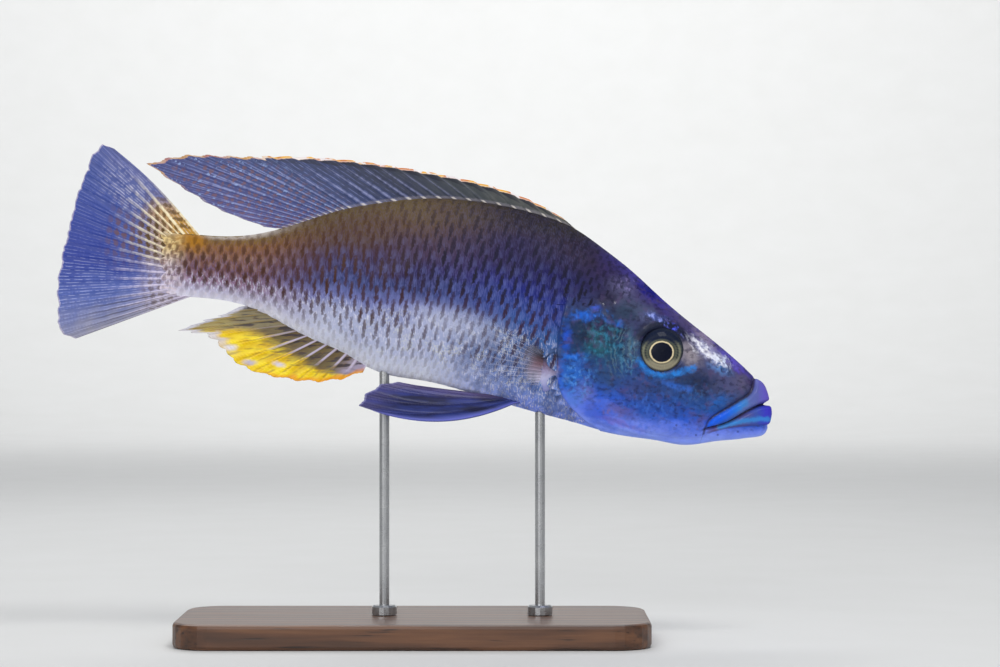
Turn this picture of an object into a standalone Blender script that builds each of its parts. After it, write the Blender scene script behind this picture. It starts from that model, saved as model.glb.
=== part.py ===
"""Malawi eye-biter, a very flat-sided hunting cichlid, as a life-size model on a plain stand.

The script works in millimetres and writes its meshes in metres. +X is the way the fish
faces, +Y is its left side, +Z is up, and the origin lies on the floor under the middle
of the whole model. The fish hangs nose down, as in the photo.
"""
import math

import bmesh
import bpy
import numpy as np
from mathutils import Matrix, Vector

MM = 0.001
GAP = 0.3

# Body: how far the snout and the end of the tail stalk reach along X.
SNOUT_TIP = 114.2
STALK_END = -74.3

# Body stations from snout to tail: place, height of the back, height of the belly,
# half width.
STATIONS = (
    (114.2, 73.1, 73.1, 0.0),
    (113.7, 75.2, 69.9, 2.0),
    (112.8, 79.3, 67.0, 3.1),
    (111.7, 82.0, 65.7, 3.8),
    (109.4, 83.8, 65.0, 4.6),
    (106.0, 86.9, 64.6, 5.2),
    (102.7, 89.9, 64.2, 5.8),
    (94.7, 96.6, 63.4, 7.0),
    (85.4, 104.0, 62.5, 8.0),
    (78.7, 109.8, 63.7, 8.6),
    (69.1, 118.6, 65.2, 9.7),
    (59.5, 126.1, 67.2, 10.8),
    (52.2, 131.2, 69.4, 11.3),
    (39.4, 136.4, 72.8, 11.6),
    (21.1, 140.3, 78.2, 11.5),
    (1.9, 141.3, 83.2, 11.0),
    (-14.5, 139.4, 87.2, 10.0),
    (-22.0, 138.0, 91.6, 9.2),
    (-34.9, 134.1, 97.4, 7.5),
    (-49.3, 130.1, 105.2, 5.4),
    (-60.8, 129.2, 108.7, 3.9),
    (-74.3, 130.3, 109.9, 2.3),
)
RING_STEP = 0.24
RING_SIDES = 48
NARROWEST = 0.02
RELIEF_FADE = 2.5
FULLEST_AT = 0.85
TOP_ROUNDING = ((114.2, 0.62), (78.7, 0.82), (45.0, 0.70), (0.0, 0.62), (-74.3, 0.70))
KEEL_ROUNDING = ((114.2, 0.55), (78.7, 0.55), (45.0, 0.58), (0.0, 0.62), (-74.3, 0.70))

# Eye: its middle and its half sizes, seen from the side and across.
EYE_PLACE = (78.7, 92.9)
EYE_RADIUS = 7.2
EYE_HALF_DEPTH = 3.1
EYE_CENTRE_Y = 6.9
EYE_AIM = (0.10, 0.12)
EYE_SEGMENTS = 20
ORBIT_RADIUS = 7.7
ORBIT_THICKNESS = 1.0
ORBIT_SINK = 0.45
ORBIT_STEPS = 28

NOSTRIL_PLACE = (98.7, 86.7)
NOSTRIL_RADIUS = 0.8
NOSTRIL_SEGMENTS = 10

# Lines of the head, seen from the side. The mouth line has its own width at each point.
MOUTH_LINE = (
    (117.5, 77.0, 1.6),
    (111.0, 76.0, 0.7),
    (104.9, 72.7, GAP),
    (99.3, 69.5, GAP),
    (93.1, 67.7, GAP),
    (88.3, 65.9, GAP),
    (84.5, 59.5, GAP),
)
LIP_GROOVE = (
    (110.2, 89.0),
    (108.5, 84.2),
    (106.7, 78.9),
    (103.4, 76.8),
    (97.5, 72.9),
    (93.4, 69.8),
    (93.1, 67.7),
)
UPPER_LIP = ((112.9, 77.9), (111.2, 77.5), (107.6, 75.5), (102.0, 72.4), (95.2, 69.5))
LOWER_LIP = ((113.9, 74.2), (111.8, 74.4), (107.6, 72.6), (102.0, 69.8), (94.6, 67.4))
LIP_RADIUS = (1.5, 0.8)
LIP_SINK = 0.55
LIP_TAPER = 1.5
LIP_STEPS = 12
BEAD_SIDES = 8
GILL_EDGE = (
    (59.5, 134.0),
    (56.6, 128.6),
    (49.6, 112.0),
    (46.6, 100.8),
    (45.5, 92.0),
    (45.5, 84.0),
    (47.0, 78.7),
    (50.6, 73.9),
    (55.6, 69.6),
    (60.6, 66.0),
    (64.0, 58.0),
)
CHEEK_EDGE = (
    (60.8, 105.0),
    (63.0, 97.6),
    (63.4, 89.6),
    (64.8, 82.4),
    (69.1, 75.8),
    (76.0, 71.0),
    (83.0, 67.8),
    (85.6, 58.0),
)
COVER_TOP = ((59.4, 107.4), (56.6, 108.8), (53.2, 108.8), (50.2, 107.0), (48.2, 104.0))
COVER_SHOULDER = 101.0
LINE_STEPS = 22
COVER_THICKNESS = 2.2
COVER_RISE = 0.45
COVER_MIDLINE_GAP = 0.8
CORE_REACH = (92.0, 38.0)
CORE_STEP = 3.0
CHEEK_RISE = 0.4
CHEEK_WIDTH = 2.6
STALK_CUT = -52.5
CUTTER_REACH = 40.0
STALK_CUT_MARGIN = 10.0
SHARPEST_CORNER = 0.4

# Fins: rows of points from root to edge, and half thicknesses of rays and membrane.
FIN_ROWS = 6
RAY_ROOT = 0.85
RAY_TIP = 0.32
MEMBRANE_ROOT = 0.5
MEMBRANE_TIP = 0.25
SOFT_NOTCH = 0.6
DEEPEST_NOTCH = 0.3

DORSAL_SPINES = 16
DORSAL_SOFT_RAYS = 12
DORSAL_ROOT = (51.0, -21.0, -43.6)
DORSAL_MARGIN = (
    (52.2, 131.8),
    (45.4, 136.5),
    (33.6, 142.4),
    (1.9, 150.4),
    (-33.0, 154.7),
    (-60.0, 155.2),
    (-78.0, 154.9),
    (-86.1, 152.6),
)
DORSAL_SWAY = 1.6
DORSAL_NOTCH = 1.2
DORSAL_REAR = ((-86.1, 152.6), (-69.8, 141.3), (-58.9, 135.9), (-49.0, 132.3))
DORSAL_SPINE_SHARE = 0.72
DORSAL_SPINE_BUNCHING = 1.05
DORSAL_TIP_RAY = 6

ANAL_RAYS = 13
ANAL_ROOT = (-15.5, -54.5)
ANAL_MARGIN = (
    (-16.5, 85.4),
    (-21.3, 83.6),
    (-35.6, 82.5),
    (-49.4, 85.0),
    (-58.5, 88.4),
    (-65.3, 94.9),
    (-77.0, 98.8),
)
ANAL_REAR = ((-77.0, 98.8), (-69.5, 101.7), (-57.5, 105.6))
ANAL_TIP_RAY = 9
ANAL_SWAY = 1.4
ANAL_NOTCH = 0.9

CAUDAL_RAYS = 17
CAUDAL_TOP_ROOT = -69.0
CAUDAL_LOWER_ROOT = -72.6
CAUDAL_TRAILING = (
    (-97.4, 158.2),
    (-101.2, 158.6),
    (-105.5, 151.5),
    (-109.0, 141.0),
    (-111.6, 128.7),
    (-114.0, 116.0),
    (-114.2, 104.6),
    (-112.6, 97.4),
    (-108.4, 96.4),
)
CAUDAL_BULGE = 1.7
CAUDAL_SWAY = 2.2

PECTORAL_RAYS = 13
PECTORAL_ROOT = ((43.4, 91.8), (41.6, 82.0))
PECTORAL_EDGE = (
    (24.0, 102.8),
    (13.1, 104.0),
    (10.4, 95.0),
    (15.5, 86.6),
    (27.0, 81.6),
)
PECTORAL_SPREAD = 0.84
PECTORAL_SINK = 1.6
PECTORAL_CUP = 1.5

PELVIC_RAYS = 6
PELVIC_ROOT = ((32.2, 4.2, 76.0), (25.4, 1.9, 78.2))
PELVIC_EDGE = (
    (-11.0, 8.4, 73.0),
    (-17.9, 8.6, 76.3),
    (-14.6, 7.0, 79.6),
    (-9.5, 5.0, 82.4),
    (0.5, 3.2, 81.4),
)
PELVIC_SAG = 4.2

# Display stand.
BASE_SIZE = (150.0, 64.0, 8.0)
BASE_CORNER = 12.0
BASE_CORNER_SEGMENTS = 6
BASE_ROUNDING = 1.2
BASE_ROUNDING_SEGMENTS = 2
ROD_RADIUS = 1.6
COLLAR_RADIUS = 4.0
COLLAR_HEIGHT = 3.0
COLLAR_CHAMFER = 0.6
ROD_OVERLAP = 3.0
ROD_SIDES = 16
RODS = (("stand_rod_front", 40.3), ("stand_rod_rear", -9.5))

MODEL_NAME = "Malawi eye-biter"


# Curves and outlines.


def mix(start, end, share):
    """A value or point between two others."""
    return start + (end - start) * share


def natural_curve(places, values):
    """A smooth curve through values at rising places, free at both ends."""
    count = len(places)
    steps = np.diff(places)
    slopes = np.diff(values) / steps
    matrix = np.eye(count)
    right = np.zeros(count)
    for i in range(1, count - 1):
        matrix[i, i - 1] = steps[i - 1]
        matrix[i, i] = 2.0 * (steps[i - 1] + steps[i])
        matrix[i, i + 1] = steps[i]
        right[i] = 6.0 * (slopes[i] - slopes[i - 1])
    bends = np.linalg.solve(matrix, right)

    def read(place):
        i = int(np.clip(np.searchsorted(places, place) - 1, 0, count - 2))
        before = place - places[i]
        after = places[i + 1] - place
        step = steps[i]
        curved = (bends[i] * after ** 3 + bends[i + 1] * before ** 3) / (6.0 * step)
        start = values[i] / step - bends[i] * step / 6.0
        end = values[i + 1] / step - bends[i + 1] * step / 6.0
        return float(curved + start * after + end * before)

    return read


def from_snout(x):
    """Distance behind the snout as a root, which rounds the front of the head."""
    return math.sqrt(max(SNOUT_TIP - x, 0.0))


def station_curve(rows, column):
    """One column of a station table as a curve along the body."""
    places = [from_snout(row[0]) for row in rows]
    curve = natural_curve(places, [row[column] for row in rows])
    return lambda x: curve(from_snout(x))


back = station_curve(STATIONS, 1)
belly = station_curve(STATIONS, 2)
half_width = station_curve(STATIONS, 3)
top_rounding = station_curve(TOP_ROUNDING, 1)
keel_rounding = station_curve(KEEL_ROUNDING, 1)


def smooth_path(points):
    """A smooth path through points, read by the share of its length."""
    joints = [Vector(point) for point in points]
    lengths = [0.0]
    for before, after in zip(joints, joints[1:]):
        lengths.append(lengths[-1] + (after - before).length)
    curves = [natural_curve(lengths, values) for values in zip(*points)]
    return lambda share: Vector([curve(share * lengths[-1]) for curve in curves])


def sampled(points):
    """Even places along the smooth path through a few points."""
    path = smooth_path(points)
    return [path(i / LINE_STEPS) for i in range(LINE_STEPS + 1)]


def distance_to_path(place, points):
    """Shortest distance from a place to a broken line, both seen from the side."""
    nearest = math.inf
    for start, end in zip(points, points[1:]):
        origin = Vector(start)
        run = Vector(end) - origin
        share = min(max((place - origin).dot(run) / run.length_squared, 0.0), 1.0)
        nearest = min(nearest, (place - origin - run * share).length)
    return nearest


def bump(distance, width):
    """A soft rise of height one that fades over the width."""
    return math.exp(-(distance / width) ** 2)


# The body's surface.


def relief(x, z):
    """How far the edge of the cheek stands out of the flank."""
    cheek = distance_to_path(Vector((x, z)), CHEEK_EDGE[:-1])
    return CHEEK_RISE * bump(cheek, CHEEK_WIDTH)


def flank(x, z):
    """Half width of the body at a place seen from the side."""
    height = back(x) - belly(x)
    share = min(max((back(x) - z) / height, 0.0), 1.0)
    rounding = top_rounding(x) + (keel_rounding(x) - top_rounding(x)) * share
    fullness = max(math.sin(math.pi * share ** FULLEST_AT), 0.0) ** rounding
    fade = min(1.0, half_width(x) * fullness / RELIEF_FADE)
    return half_width(x) * fullness + relief(x, z) * fade


def body_ring(x, inset=0.0):
    """One closed section of the body, from the back down the left side and up the right."""
    ring = []
    height = back(x) - belly(x) - 2.0 * inset
    for i in range(RING_SIDES):
        angle = 2.0 * math.pi * i / RING_SIDES
        z = back(x) - inset - height * (1.0 - math.cos(angle)) / 2.0
        side = 1.0 if angle <= math.pi else -1.0
        on_keel = i in (0, RING_SIDES // 2)
        y = 0.0 if on_keel else side * max(flank(x, z) - inset, NARROWEST)
        ring.append(Vector((x, y, z)))
    return ring


# Meshes, cuts and collections.


def link(name, mesh, collection):
    """A new object for a mesh in a collection."""
    item = bpy.data.objects.new(name, mesh)
    collection.objects.link(item)
    return item


def mesh_from(bm, name):
    """A mesh from a bmesh in millimetres, with its faces turned out."""
    bmesh.ops.recalc_face_normals(bm, faces=bm.faces)
    bmesh.ops.scale(bm, vec=(MM, MM, MM), verts=bm.verts)
    mesh = bpy.data.meshes.new(name)
    bm.to_mesh(mesh)
    bm.free()
    return mesh


def loft(rings, nose=None, looped=False):
    """A closed bmesh over rings of like points, with flat ends, a nose point or none."""
    bm = bmesh.new()
    rows = [[bm.verts.new(point) for point in ring] for ring in rings]
    count = len(rows[0])
    for near, far in zip(rows, rows[1:]):
        for i in range(count):
            j = (i + 1) % count
            bm.faces.new((near[i], near[j], far[j], far[i]))
    if looped:
        for i in range(count):
            j = (i + 1) % count
            bm.faces.new((rows[-1][i], rows[-1][j], rows[0][j], rows[0][i]))
        return bm
    bm.faces.new(rows[-1])
    if nose is None:
        bm.faces.new(rows[0])
        return bm
    tip = bm.verts.new(nose)
    for i in range(count):
        bm.faces.new((rows[0][i], rows[0][(i + 1) % count], tip))
    return bm


def body_mesh(name, grow=0.0):
    """The whole body from snout to tail stalk, grown outwards for a cutter."""
    last = from_snout(STALK_END)
    count = round(last / RING_STEP)
    rings = []
    for i in range(1, count + 1):
        x = SNOUT_TIP - (last * i / count) ** 2
        rings.append(body_ring(x))
    tip = Vector((SNOUT_TIP, 0.0, STATIONS[0][1]))
    bm = loft(rings, nose=tip)
    bmesh.ops.recalc_face_normals(bm, faces=bm.faces)
    bm.normal_update()
    for vertex in bm.verts:
        vertex.co += vertex.normal * grow
    return mesh_from(bm, name)


def core_mesh(inset):
    """The inside of the body behind the cheeks, under a skin of the inset's depth."""
    first, last = CORE_REACH
    count = round((first - last) / CORE_STEP)
    rings = [body_ring(mix(first, last, i / count), inset) for i in range(count + 1)]
    return mesh_from(loft(rings), "core")


def ribbon(points, widths):
    """A thin upright wall along a line seen from the side, as wide as it is told."""
    rings = []
    flat = [Vector(point) for point in points]
    for i, point in enumerate(flat):
        run = flat[min(i + 1, len(flat) - 1)] - flat[max(i - 1, 0)]
        across = Vector((-run.y, run.x)).normalized() * widths[i] / 2.0
        ring = []
        for edge, y in ((across, -1), (-across, -1), (-across, 1), (across, 1)):
            corner = point + edge
            ring.append(Vector((corner.x, y * CUTTER_REACH, corner.y)))
        rings.append(ring)
    return loft(rings)


def prism(outline, low, high):
    """A solid over an outline seen from the side, between two distances across."""
    rings = []
    for y in (low, high):
        rings.append([Vector((x, y, z)) for x, z in outline])
    return loft(rings)


def offset_outline(points, distance):
    """An outline moved outwards by a distance, for points that run round it."""
    flat = [Vector(point) for point in points]
    area = sum(a.x * b.y - b.x * a.y for a, b in zip(flat, flat[1:] + flat[:1]))
    turn = 1.0 if area > 0.0 else -1.0
    moved = []
    for i, point in enumerate(flat):
        before = (point - flat[i - 1]).normalized()
        after = (flat[(i + 1) % len(flat)] - point).normalized()
        out_before = Vector((before.y, -before.x)) * turn
        out_after = Vector((after.y, -after.x)) * turn
        middle = (out_before + out_after).normalized()
        reach = distance / max(middle.dot(out_before), SHARPEST_CORNER)
        moved.append(tuple(point + middle * reach))
    return moved


def apply_boolean(target, cutter, operation="DIFFERENCE"):
    """Cut, join or meet a target with a cutter, which is then removed."""
    modifier = target.modifiers.new("Cut", "BOOLEAN")
    modifier.operation = operation
    modifier.solver = "EXACT"
    modifier.object = cutter
    with bpy.context.temp_override(object=target, active_object=target):
        bpy.ops.object.modifier_apply(modifier=modifier.name)
    bpy.data.objects.remove(cutter)


def add_cutter(name, mesh, collection):
    """A cutter, which isn't part of the model."""
    cutter = link(name, mesh, collection)
    cutter.hide_render = True
    cutter.display_type = "WIRE"
    return cutter


def islands(bm):
    """The separate closed surfaces of a bmesh, as lists of faces."""
    waiting = set(bm.faces)
    found = []
    while waiting:
        stack = [waiting.pop()]
        group = []
        while stack:
            face = stack.pop()
            group.append(face)
            for edge in face.edges:
                for other in edge.link_faces:
                    if other in waiting:
                        waiting.remove(other)
                        stack.append(other)
        found.append(group)
    return found


def keep_largest(item):
    """Keep only the surface of an object that has the most area."""
    bm = bmesh.new()
    bm.from_mesh(item.data)
    groups = islands(bm)
    groups.sort(key=lambda group: sum(face.calc_area() for face in group))
    scraps = [face for group in groups[:-1] for face in group]
    bmesh.ops.delete(bm, geom=scraps, context="FACES")
    bm.to_mesh(item.data)
    bm.free()


def split_by_places(item, places, collection):
    """Part an object into its closed surfaces, each named for the place it is nearest."""
    for name, (x, z) in places.items():
        bm = bmesh.new()
        bm.from_mesh(item.data)
        groups = islands(bm)
        goal = Vector((x * MM, 0.0, z * MM))

        def miss(group):
            size = sum(face.calc_area() for face in group)
            middle = sum((face.calc_center_median() * face.calc_area() for face in group), Vector())
            return (middle / size - goal).length

        groups.sort(key=miss)
        others = [face for group in groups[1:] for face in group]
        bmesh.ops.delete(bm, geom=others, context="FACES")
        mesh = bpy.data.meshes.new(name)
        bm.to_mesh(mesh)
        bm.free()
        link(name, mesh, collection)
    bpy.data.objects.remove(item)


# Head, trunk and tail stalk.


def eye_middle(side):
    """The middle of the eyeball on the left (+1) or right (-1)."""
    return Vector((EYE_PLACE[0], side * EYE_CENTRE_Y, EYE_PLACE[1]))


def ellipsoid(middle, radius, half_depth, segments, aim=(0.0, 0.0)):
    """A closed round solid that faces out of the flank, ahead and up by its aim."""
    bm = bmesh.new()
    side = math.copysign(1.0, middle.y)
    facing = Vector((aim[0], side, aim[1]))
    turn = facing.to_track_quat("Z", "X").to_matrix().to_4x4()
    size = Matrix.Diagonal((radius, radius, half_depth, 1.0))
    bmesh.ops.create_uvsphere(
        bm,
        u_segments=segments,
        v_segments=segments // 2,
        radius=1.0,
        matrix=Matrix.Translation(middle) @ turn @ size,
    )
    return bm


def eye_solid(side, grow=0.0):
    """One eyeball, or the room for it."""
    return ellipsoid(
        eye_middle(side), EYE_RADIUS + grow, EYE_HALF_DEPTH + grow, EYE_SEGMENTS, EYE_AIM
    )


def bead(points, radii, looped=False):
    """A closed round bar along points, as thick at each as its radius says."""
    rings = []
    last = len(points) - 1
    for i, point in enumerate(points):
        after = points[(i + 1) % len(points)] if looped else points[min(i + 1, last)]
        before = points[i - 1] if looped else points[max(i - 1, 0)]
        run = (after - before).normalized()
        outward = Vector((0.0, point.y, 0.0)) + Vector((point.x - EYE_PLACE[0], 0.0, 0.0))
        across = (outward - run * outward.dot(run)).normalized()
        upward = run.cross(across)
        ring = []
        for k in range(BEAD_SIDES):
            angle = 2.0 * math.pi * k / BEAD_SIDES
            ring.append(point + (across * math.cos(angle) + upward * math.sin(angle)) * radii[i])
        rings.append(ring)
    return loft(rings, looped=looped)


def add_lips(body, cutters):
    """A rounded lip above and below the mouth line, from one corner to the other."""
    for name, outline in (("upper_lip", UPPER_LIP), ("lower_lip", LOWER_LIP)):
        path = smooth_path(outline)
        points = []
        radii = []
        for i in range(-LIP_STEPS, LIP_STEPS + 1):
            share = (abs(i) / LIP_STEPS) ** LIP_TAPER
            radius = mix(*LIP_RADIUS, share)
            x, z = path(share)
            out = max(flank(x, z) - LIP_SINK * radius, 0.0)
            points.append(Vector((x - LIP_SINK * radius * (1.0 - share), math.copysign(out, i), z)))
            radii.append(radius)
        lip = mesh_from(bead(points, radii), name)
        apply_boolean(body, add_cutter(name, lip, cutters), "UNION")


def add_orbit_rims(body, cutters):
    """A low ring of skin round each eye, laid along the flank."""
    for side in (-1.0, 1.0):
        points = []
        for i in range(ORBIT_STEPS):
            angle = 2.0 * math.pi * i / ORBIT_STEPS
            x = EYE_PLACE[0] + ORBIT_RADIUS * math.cos(angle)
            z = EYE_PLACE[1] + ORBIT_RADIUS * math.sin(angle)
            points.append(Vector((x, side * (flank(x, z) - ORBIT_SINK), z)))
        rim = mesh_from(bead(points, [ORBIT_THICKNESS] * ORBIT_STEPS, looped=True), "rim")
        apply_boolean(body, add_cutter("rim", rim, cutters), "UNION")


def cut_eyes_and_nostrils(body, cutters):
    """The two eye sockets and a nostril on each side of the snout."""
    for side in (-1.0, 1.0):
        mesh = mesh_from(eye_solid(side, GAP), "socket")
        apply_boolean(body, add_cutter("socket", mesh, cutters))
        x, z = NOSTRIL_PLACE
        middle = Vector((x, side * flank(x, z), z))
        hole = ellipsoid(middle, NOSTRIL_RADIUS, NOSTRIL_RADIUS, NOSTRIL_SEGMENTS)
        mesh = mesh_from(hole, "nostril")
        apply_boolean(body, add_cutter("nostril", mesh, cutters))


def cover_outline():
    """The gill cover seen from the side: cheek edge down, gill edge up, over the top."""
    edge = [point for point in sampled(GILL_EDGE) if point.y < COVER_SHOULDER]
    rear = [(x + GAP / 2.0, z) for x, z in edge]
    return sampled(CHEEK_EDGE) + rear[::-1] + list(COVER_TOP[::-1])


def make_gill_covers(body, model, cutters):
    """A curved plate on each side, and the room for it in the body."""
    outline = cover_outline()
    wide = offset_outline(outline, GAP)
    for name, side in (("gill_cover_left", 1.0), ("gill_cover_right", -1.0)):
        cover = link(name, body_mesh(name, grow=COVER_RISE), model)
        inner = COVER_MIDLINE_GAP
        plate = prism(outline, side * inner, side * CUTTER_REACH)
        apply_boolean(cover, add_cutter("plate", mesh_from(plate, "plate"), cutters), "INTERSECT")
        apply_boolean(cover, add_cutter("core", core_mesh(COVER_THICKNESS), cutters))
        keep_largest(cover)

        room = prism(wide, side * (inner - GAP), side * CUTTER_REACH)
        room = add_cutter("room", mesh_from(room, "room"), cutters)
        apply_boolean(room, add_cutter("core", core_mesh(COVER_THICKNESS + GAP), cutters))
        apply_boolean(body, room)


def cut_lines(body, cutters):
    """Part the body along the mouth, the upper lip, the gill edge and the stalk."""
    mouth = sampled(MOUTH_LINE)
    top = back(STALK_CUT) + STALK_CUT_MARGIN
    low = belly(STALK_CUT) - STALK_CUT_MARGIN
    lines = (
        ("mouth", [point.xy for point in mouth], [point.z for point in mouth]),
        ("lip", sampled(LIP_GROOVE), None),
        ("gill_edge", sampled(GILL_EDGE), None),
        ("stalk", ((STALK_CUT, top), (STALK_CUT, low)), None),
    )
    for name, points, widths in lines:
        widths = widths or [GAP] * len(points)
        mesh = mesh_from(ribbon(points, widths), name)
        apply_boolean(body, add_cutter(name, mesh, cutters))


def make_body(model, cutters):
    """Head, jaws, gill covers, trunk and tail stalk, parted from one smooth body."""
    body = link("body", body_mesh("body"), model)
    add_lips(body, cutters)
    add_orbit_rims(body, cutters)
    make_gill_covers(body, model, cutters)
    cut_eyes_and_nostrils(body, cutters)
    cut_lines(body, cutters)
    places = {
        "upper_jaw": (104.0, 76.5),
        "lower_jaw": (100.0, 67.0),
        "head": (80.0, 92.0),
        "trunk": (0.0, 112.0),
        "tail_stalk": (-64.0, 119.0),
    }
    split_by_places(body, places, model)


def make_eyes(model):
    """An eyeball on each side, flatter across than it is high."""
    for name, side in (("eye_left", 1.0), ("eye_right", -1.0)):
        link(name, mesh_from(eye_solid(side), name), model)


# Fins.


def fin_columns(roots, tips, notch, bend):
    """Lines from root to edge: one on each ray and one on the membrane between two.

    The bend moves a line sideways by the share of the fin and of the ray.
    """
    columns = []
    last = 2 * (len(roots) - 1)
    for c in range(last + 1):
        ray = c // 2
        on_ray = c % 2 == 0
        root = roots[ray] if on_ray else (roots[ray] + roots[ray + 1]) / 2.0
        tip = tips[ray] if on_ray else (tips[ray] + tips[ray + 1]) / 2.0
        if not on_ray:
            deepest = DEEPEST_NOTCH * (tip - root).length
            tip = tip - (tip - root).normalized() * min(notch, deepest)
        column = []
        for r in range(FIN_ROWS):
            out = r / (FIN_ROWS - 1)
            thick = mix(RAY_ROOT, RAY_TIP, out) if on_ray else mix(MEMBRANE_ROOT, MEMBRANE_TIP, out)
            column.append((mix(root, tip, out) + bend(c / last, out), thick))
        columns.append(column)
    return columns


def fin_mesh(name, columns, across):
    """A closed sheet with raised rays, split alike on both faces."""
    bm = bmesh.new()
    faces = []
    for side in (1.0, -1.0):
        rows = []
        for column in columns:
            rows.append([bm.verts.new(point + across * side * thick) for point, thick in column])
        faces.append(rows)
    front, rear = faces
    for rows in faces:
        for left, right in zip(rows, rows[1:]):
            for r in range(FIN_ROWS - 1):
                bm.faces.new((left[r], right[r], right[r + 1]))
                bm.faces.new((left[r], right[r + 1], left[r + 1]))
    for c in range(len(columns) - 1):
        for r in (0, FIN_ROWS - 1):
            bm.faces.new((front[c][r], front[c + 1][r], rear[c + 1][r], rear[c][r]))
    for c in (0, len(columns) - 1):
        for r in range(FIN_ROWS - 1):
            bm.faces.new((front[c][r], front[c][r + 1], rear[c][r + 1], rear[c][r]))
    return mesh_from(bm, name)


def upright(point):
    """A point seen from the side, on the fish's middle plane."""
    return Vector((point[0], 0.0, point[1]))


def make_dorsal_fin(model):
    """The long fin on the back: stiff spines in front, soft rays behind."""
    margin = smooth_path(DORSAL_MARGIN)
    rear = smooth_path(DORSAL_REAR)
    front_x, joint_x, rear_x = DORSAL_ROOT
    roots = []
    tips = []
    for i in range(DORSAL_SPINES):
        share = (i + 1) / DORSAL_SPINES
        x = mix(front_x, joint_x, i / (DORSAL_SPINES - 1))
        roots.append(upright((x, back(x) + GAP)))
        tips.append(upright(margin(DORSAL_SPINE_SHARE * share ** DORSAL_SPINE_BUNCHING)))
    for i in range(1, DORSAL_SOFT_RAYS + 1):
        x = mix(joint_x, rear_x, i / DORSAL_SOFT_RAYS)
        roots.append(upright((x, back(x) + GAP)))
        if i <= DORSAL_TIP_RAY:
            tips.append(upright(margin(mix(DORSAL_SPINE_SHARE, 1.0, i / DORSAL_TIP_RAY))))
        else:
            past = (i - DORSAL_TIP_RAY) / (DORSAL_SOFT_RAYS - DORSAL_TIP_RAY)
            tips.append(upright(rear(past)))

    def bend(along, out):
        return Vector((0.0, DORSAL_SWAY * math.sin(math.pi * 1.5 * along) * out ** 1.5, 0.0))

    columns = fin_columns(roots, tips, DORSAL_NOTCH, bend)
    link("dorsal_fin", fin_mesh("dorsal_fin", columns, Vector((0.0, 1.0, 0.0))), model)


def make_anal_fin(model):
    """The fin under the tail stalk, drawn out to a point behind."""
    margin = smooth_path(ANAL_MARGIN)
    rear = smooth_path(ANAL_REAR)
    roots = []
    tips = []
    for i in range(ANAL_RAYS):
        x = mix(ANAL_ROOT[0], ANAL_ROOT[1], i / (ANAL_RAYS - 1))
        roots.append(upright((x, belly(x) - GAP)))
        if i <= ANAL_TIP_RAY:
            tips.append(upright(margin(i / ANAL_TIP_RAY)))
        else:
            past = (i - ANAL_TIP_RAY) / (ANAL_RAYS - 1 - ANAL_TIP_RAY)
            tips.append(upright(rear(past)))

    def bend(along, out):
        return Vector((0.0, -ANAL_SWAY * math.sin(math.pi * along) * out ** 1.5, 0.0))

    columns = fin_columns(roots, tips, ANAL_NOTCH, bend)
    link("anal_fin", fin_mesh("anal_fin", columns, Vector((0.0, 1.0, 0.0))), model)


def make_caudal_fin(model):
    """The tail fin, whose root wraps round the end of the stalk."""
    end = STALK_END - GAP
    top = back(STALK_END) + GAP
    low = belly(STALK_END) - GAP
    trailing = smooth_path(CAUDAL_TRAILING)
    roots = [upright((CAUDAL_TOP_ROOT, back(CAUDAL_TOP_ROOT) + GAP))]
    tips = [upright(trailing(0.0))]
    inner = CAUDAL_RAYS - 2
    for i in range(inner):
        share = i / (inner - 1)
        roots.append(upright((end, mix(top, low, share))))
        tips.append(upright(trailing((i + 1) / (inner + 1))))
    roots.append(upright((CAUDAL_LOWER_ROOT, belly(CAUDAL_LOWER_ROOT) - GAP)))
    tips.append(upright(trailing(1.0)))

    def bend(along, out):
        edge = max(1.0 - 2.0 * along, 0.0) ** 3
        bulge = CAUDAL_BULGE * edge * math.sin(math.pi * out)
        sway = CAUDAL_SWAY * math.sin(math.pi * 2.0 * along) * out ** 2
        return Vector((0.0, sway, bulge))

    columns = fin_columns(roots, tips, SOFT_NOTCH, bend)
    link("caudal_fin", fin_mesh("caudal_fin", columns, Vector((0.0, 1.0, 0.0))), model)


def trim_to_body(item, cutters):
    """Cut a root or a rod clear of the body by the gap."""
    grown = body_mesh("grown", grow=GAP)
    apply_boolean(item, add_cutter("grown", grown, cutters))
    keep_largest(item)


def make_pectoral_fins(model, cutters):
    """A clear fan behind each gill cover, held out and back."""
    edge = smooth_path(PECTORAL_EDGE)
    for name, side in (("pectoral_fin_left", 1.0), ("pectoral_fin_right", -1.0)):
        roots = []
        tips = []
        for i in range(PECTORAL_RAYS):
            share = i / (PECTORAL_RAYS - 1)
            x = mix(PECTORAL_ROOT[0][0], PECTORAL_ROOT[1][0], share)
            z = mix(PECTORAL_ROOT[0][1], PECTORAL_ROOT[1][1], share)
            y = flank(x, z) - PECTORAL_SINK
            roots.append(Vector((x, side * y, z)))
            tip_x, tip_z = edge(share)
            tips.append(Vector((tip_x, side * (y + PECTORAL_SPREAD * (x - tip_x)), tip_z)))
        middle = PECTORAL_RAYS // 2
        across = (tips[middle] - roots[middle]).cross(roots[0] - roots[-1]).normalized()

        def bend(along, out):
            return across * side * PECTORAL_CUP * math.sin(math.pi * along) * out ** 2

        columns = fin_columns(roots, tips, SOFT_NOTCH, bend)
        item = link(name, fin_mesh(name, columns, across), model)
        trim_to_body(item, cutters)


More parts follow.
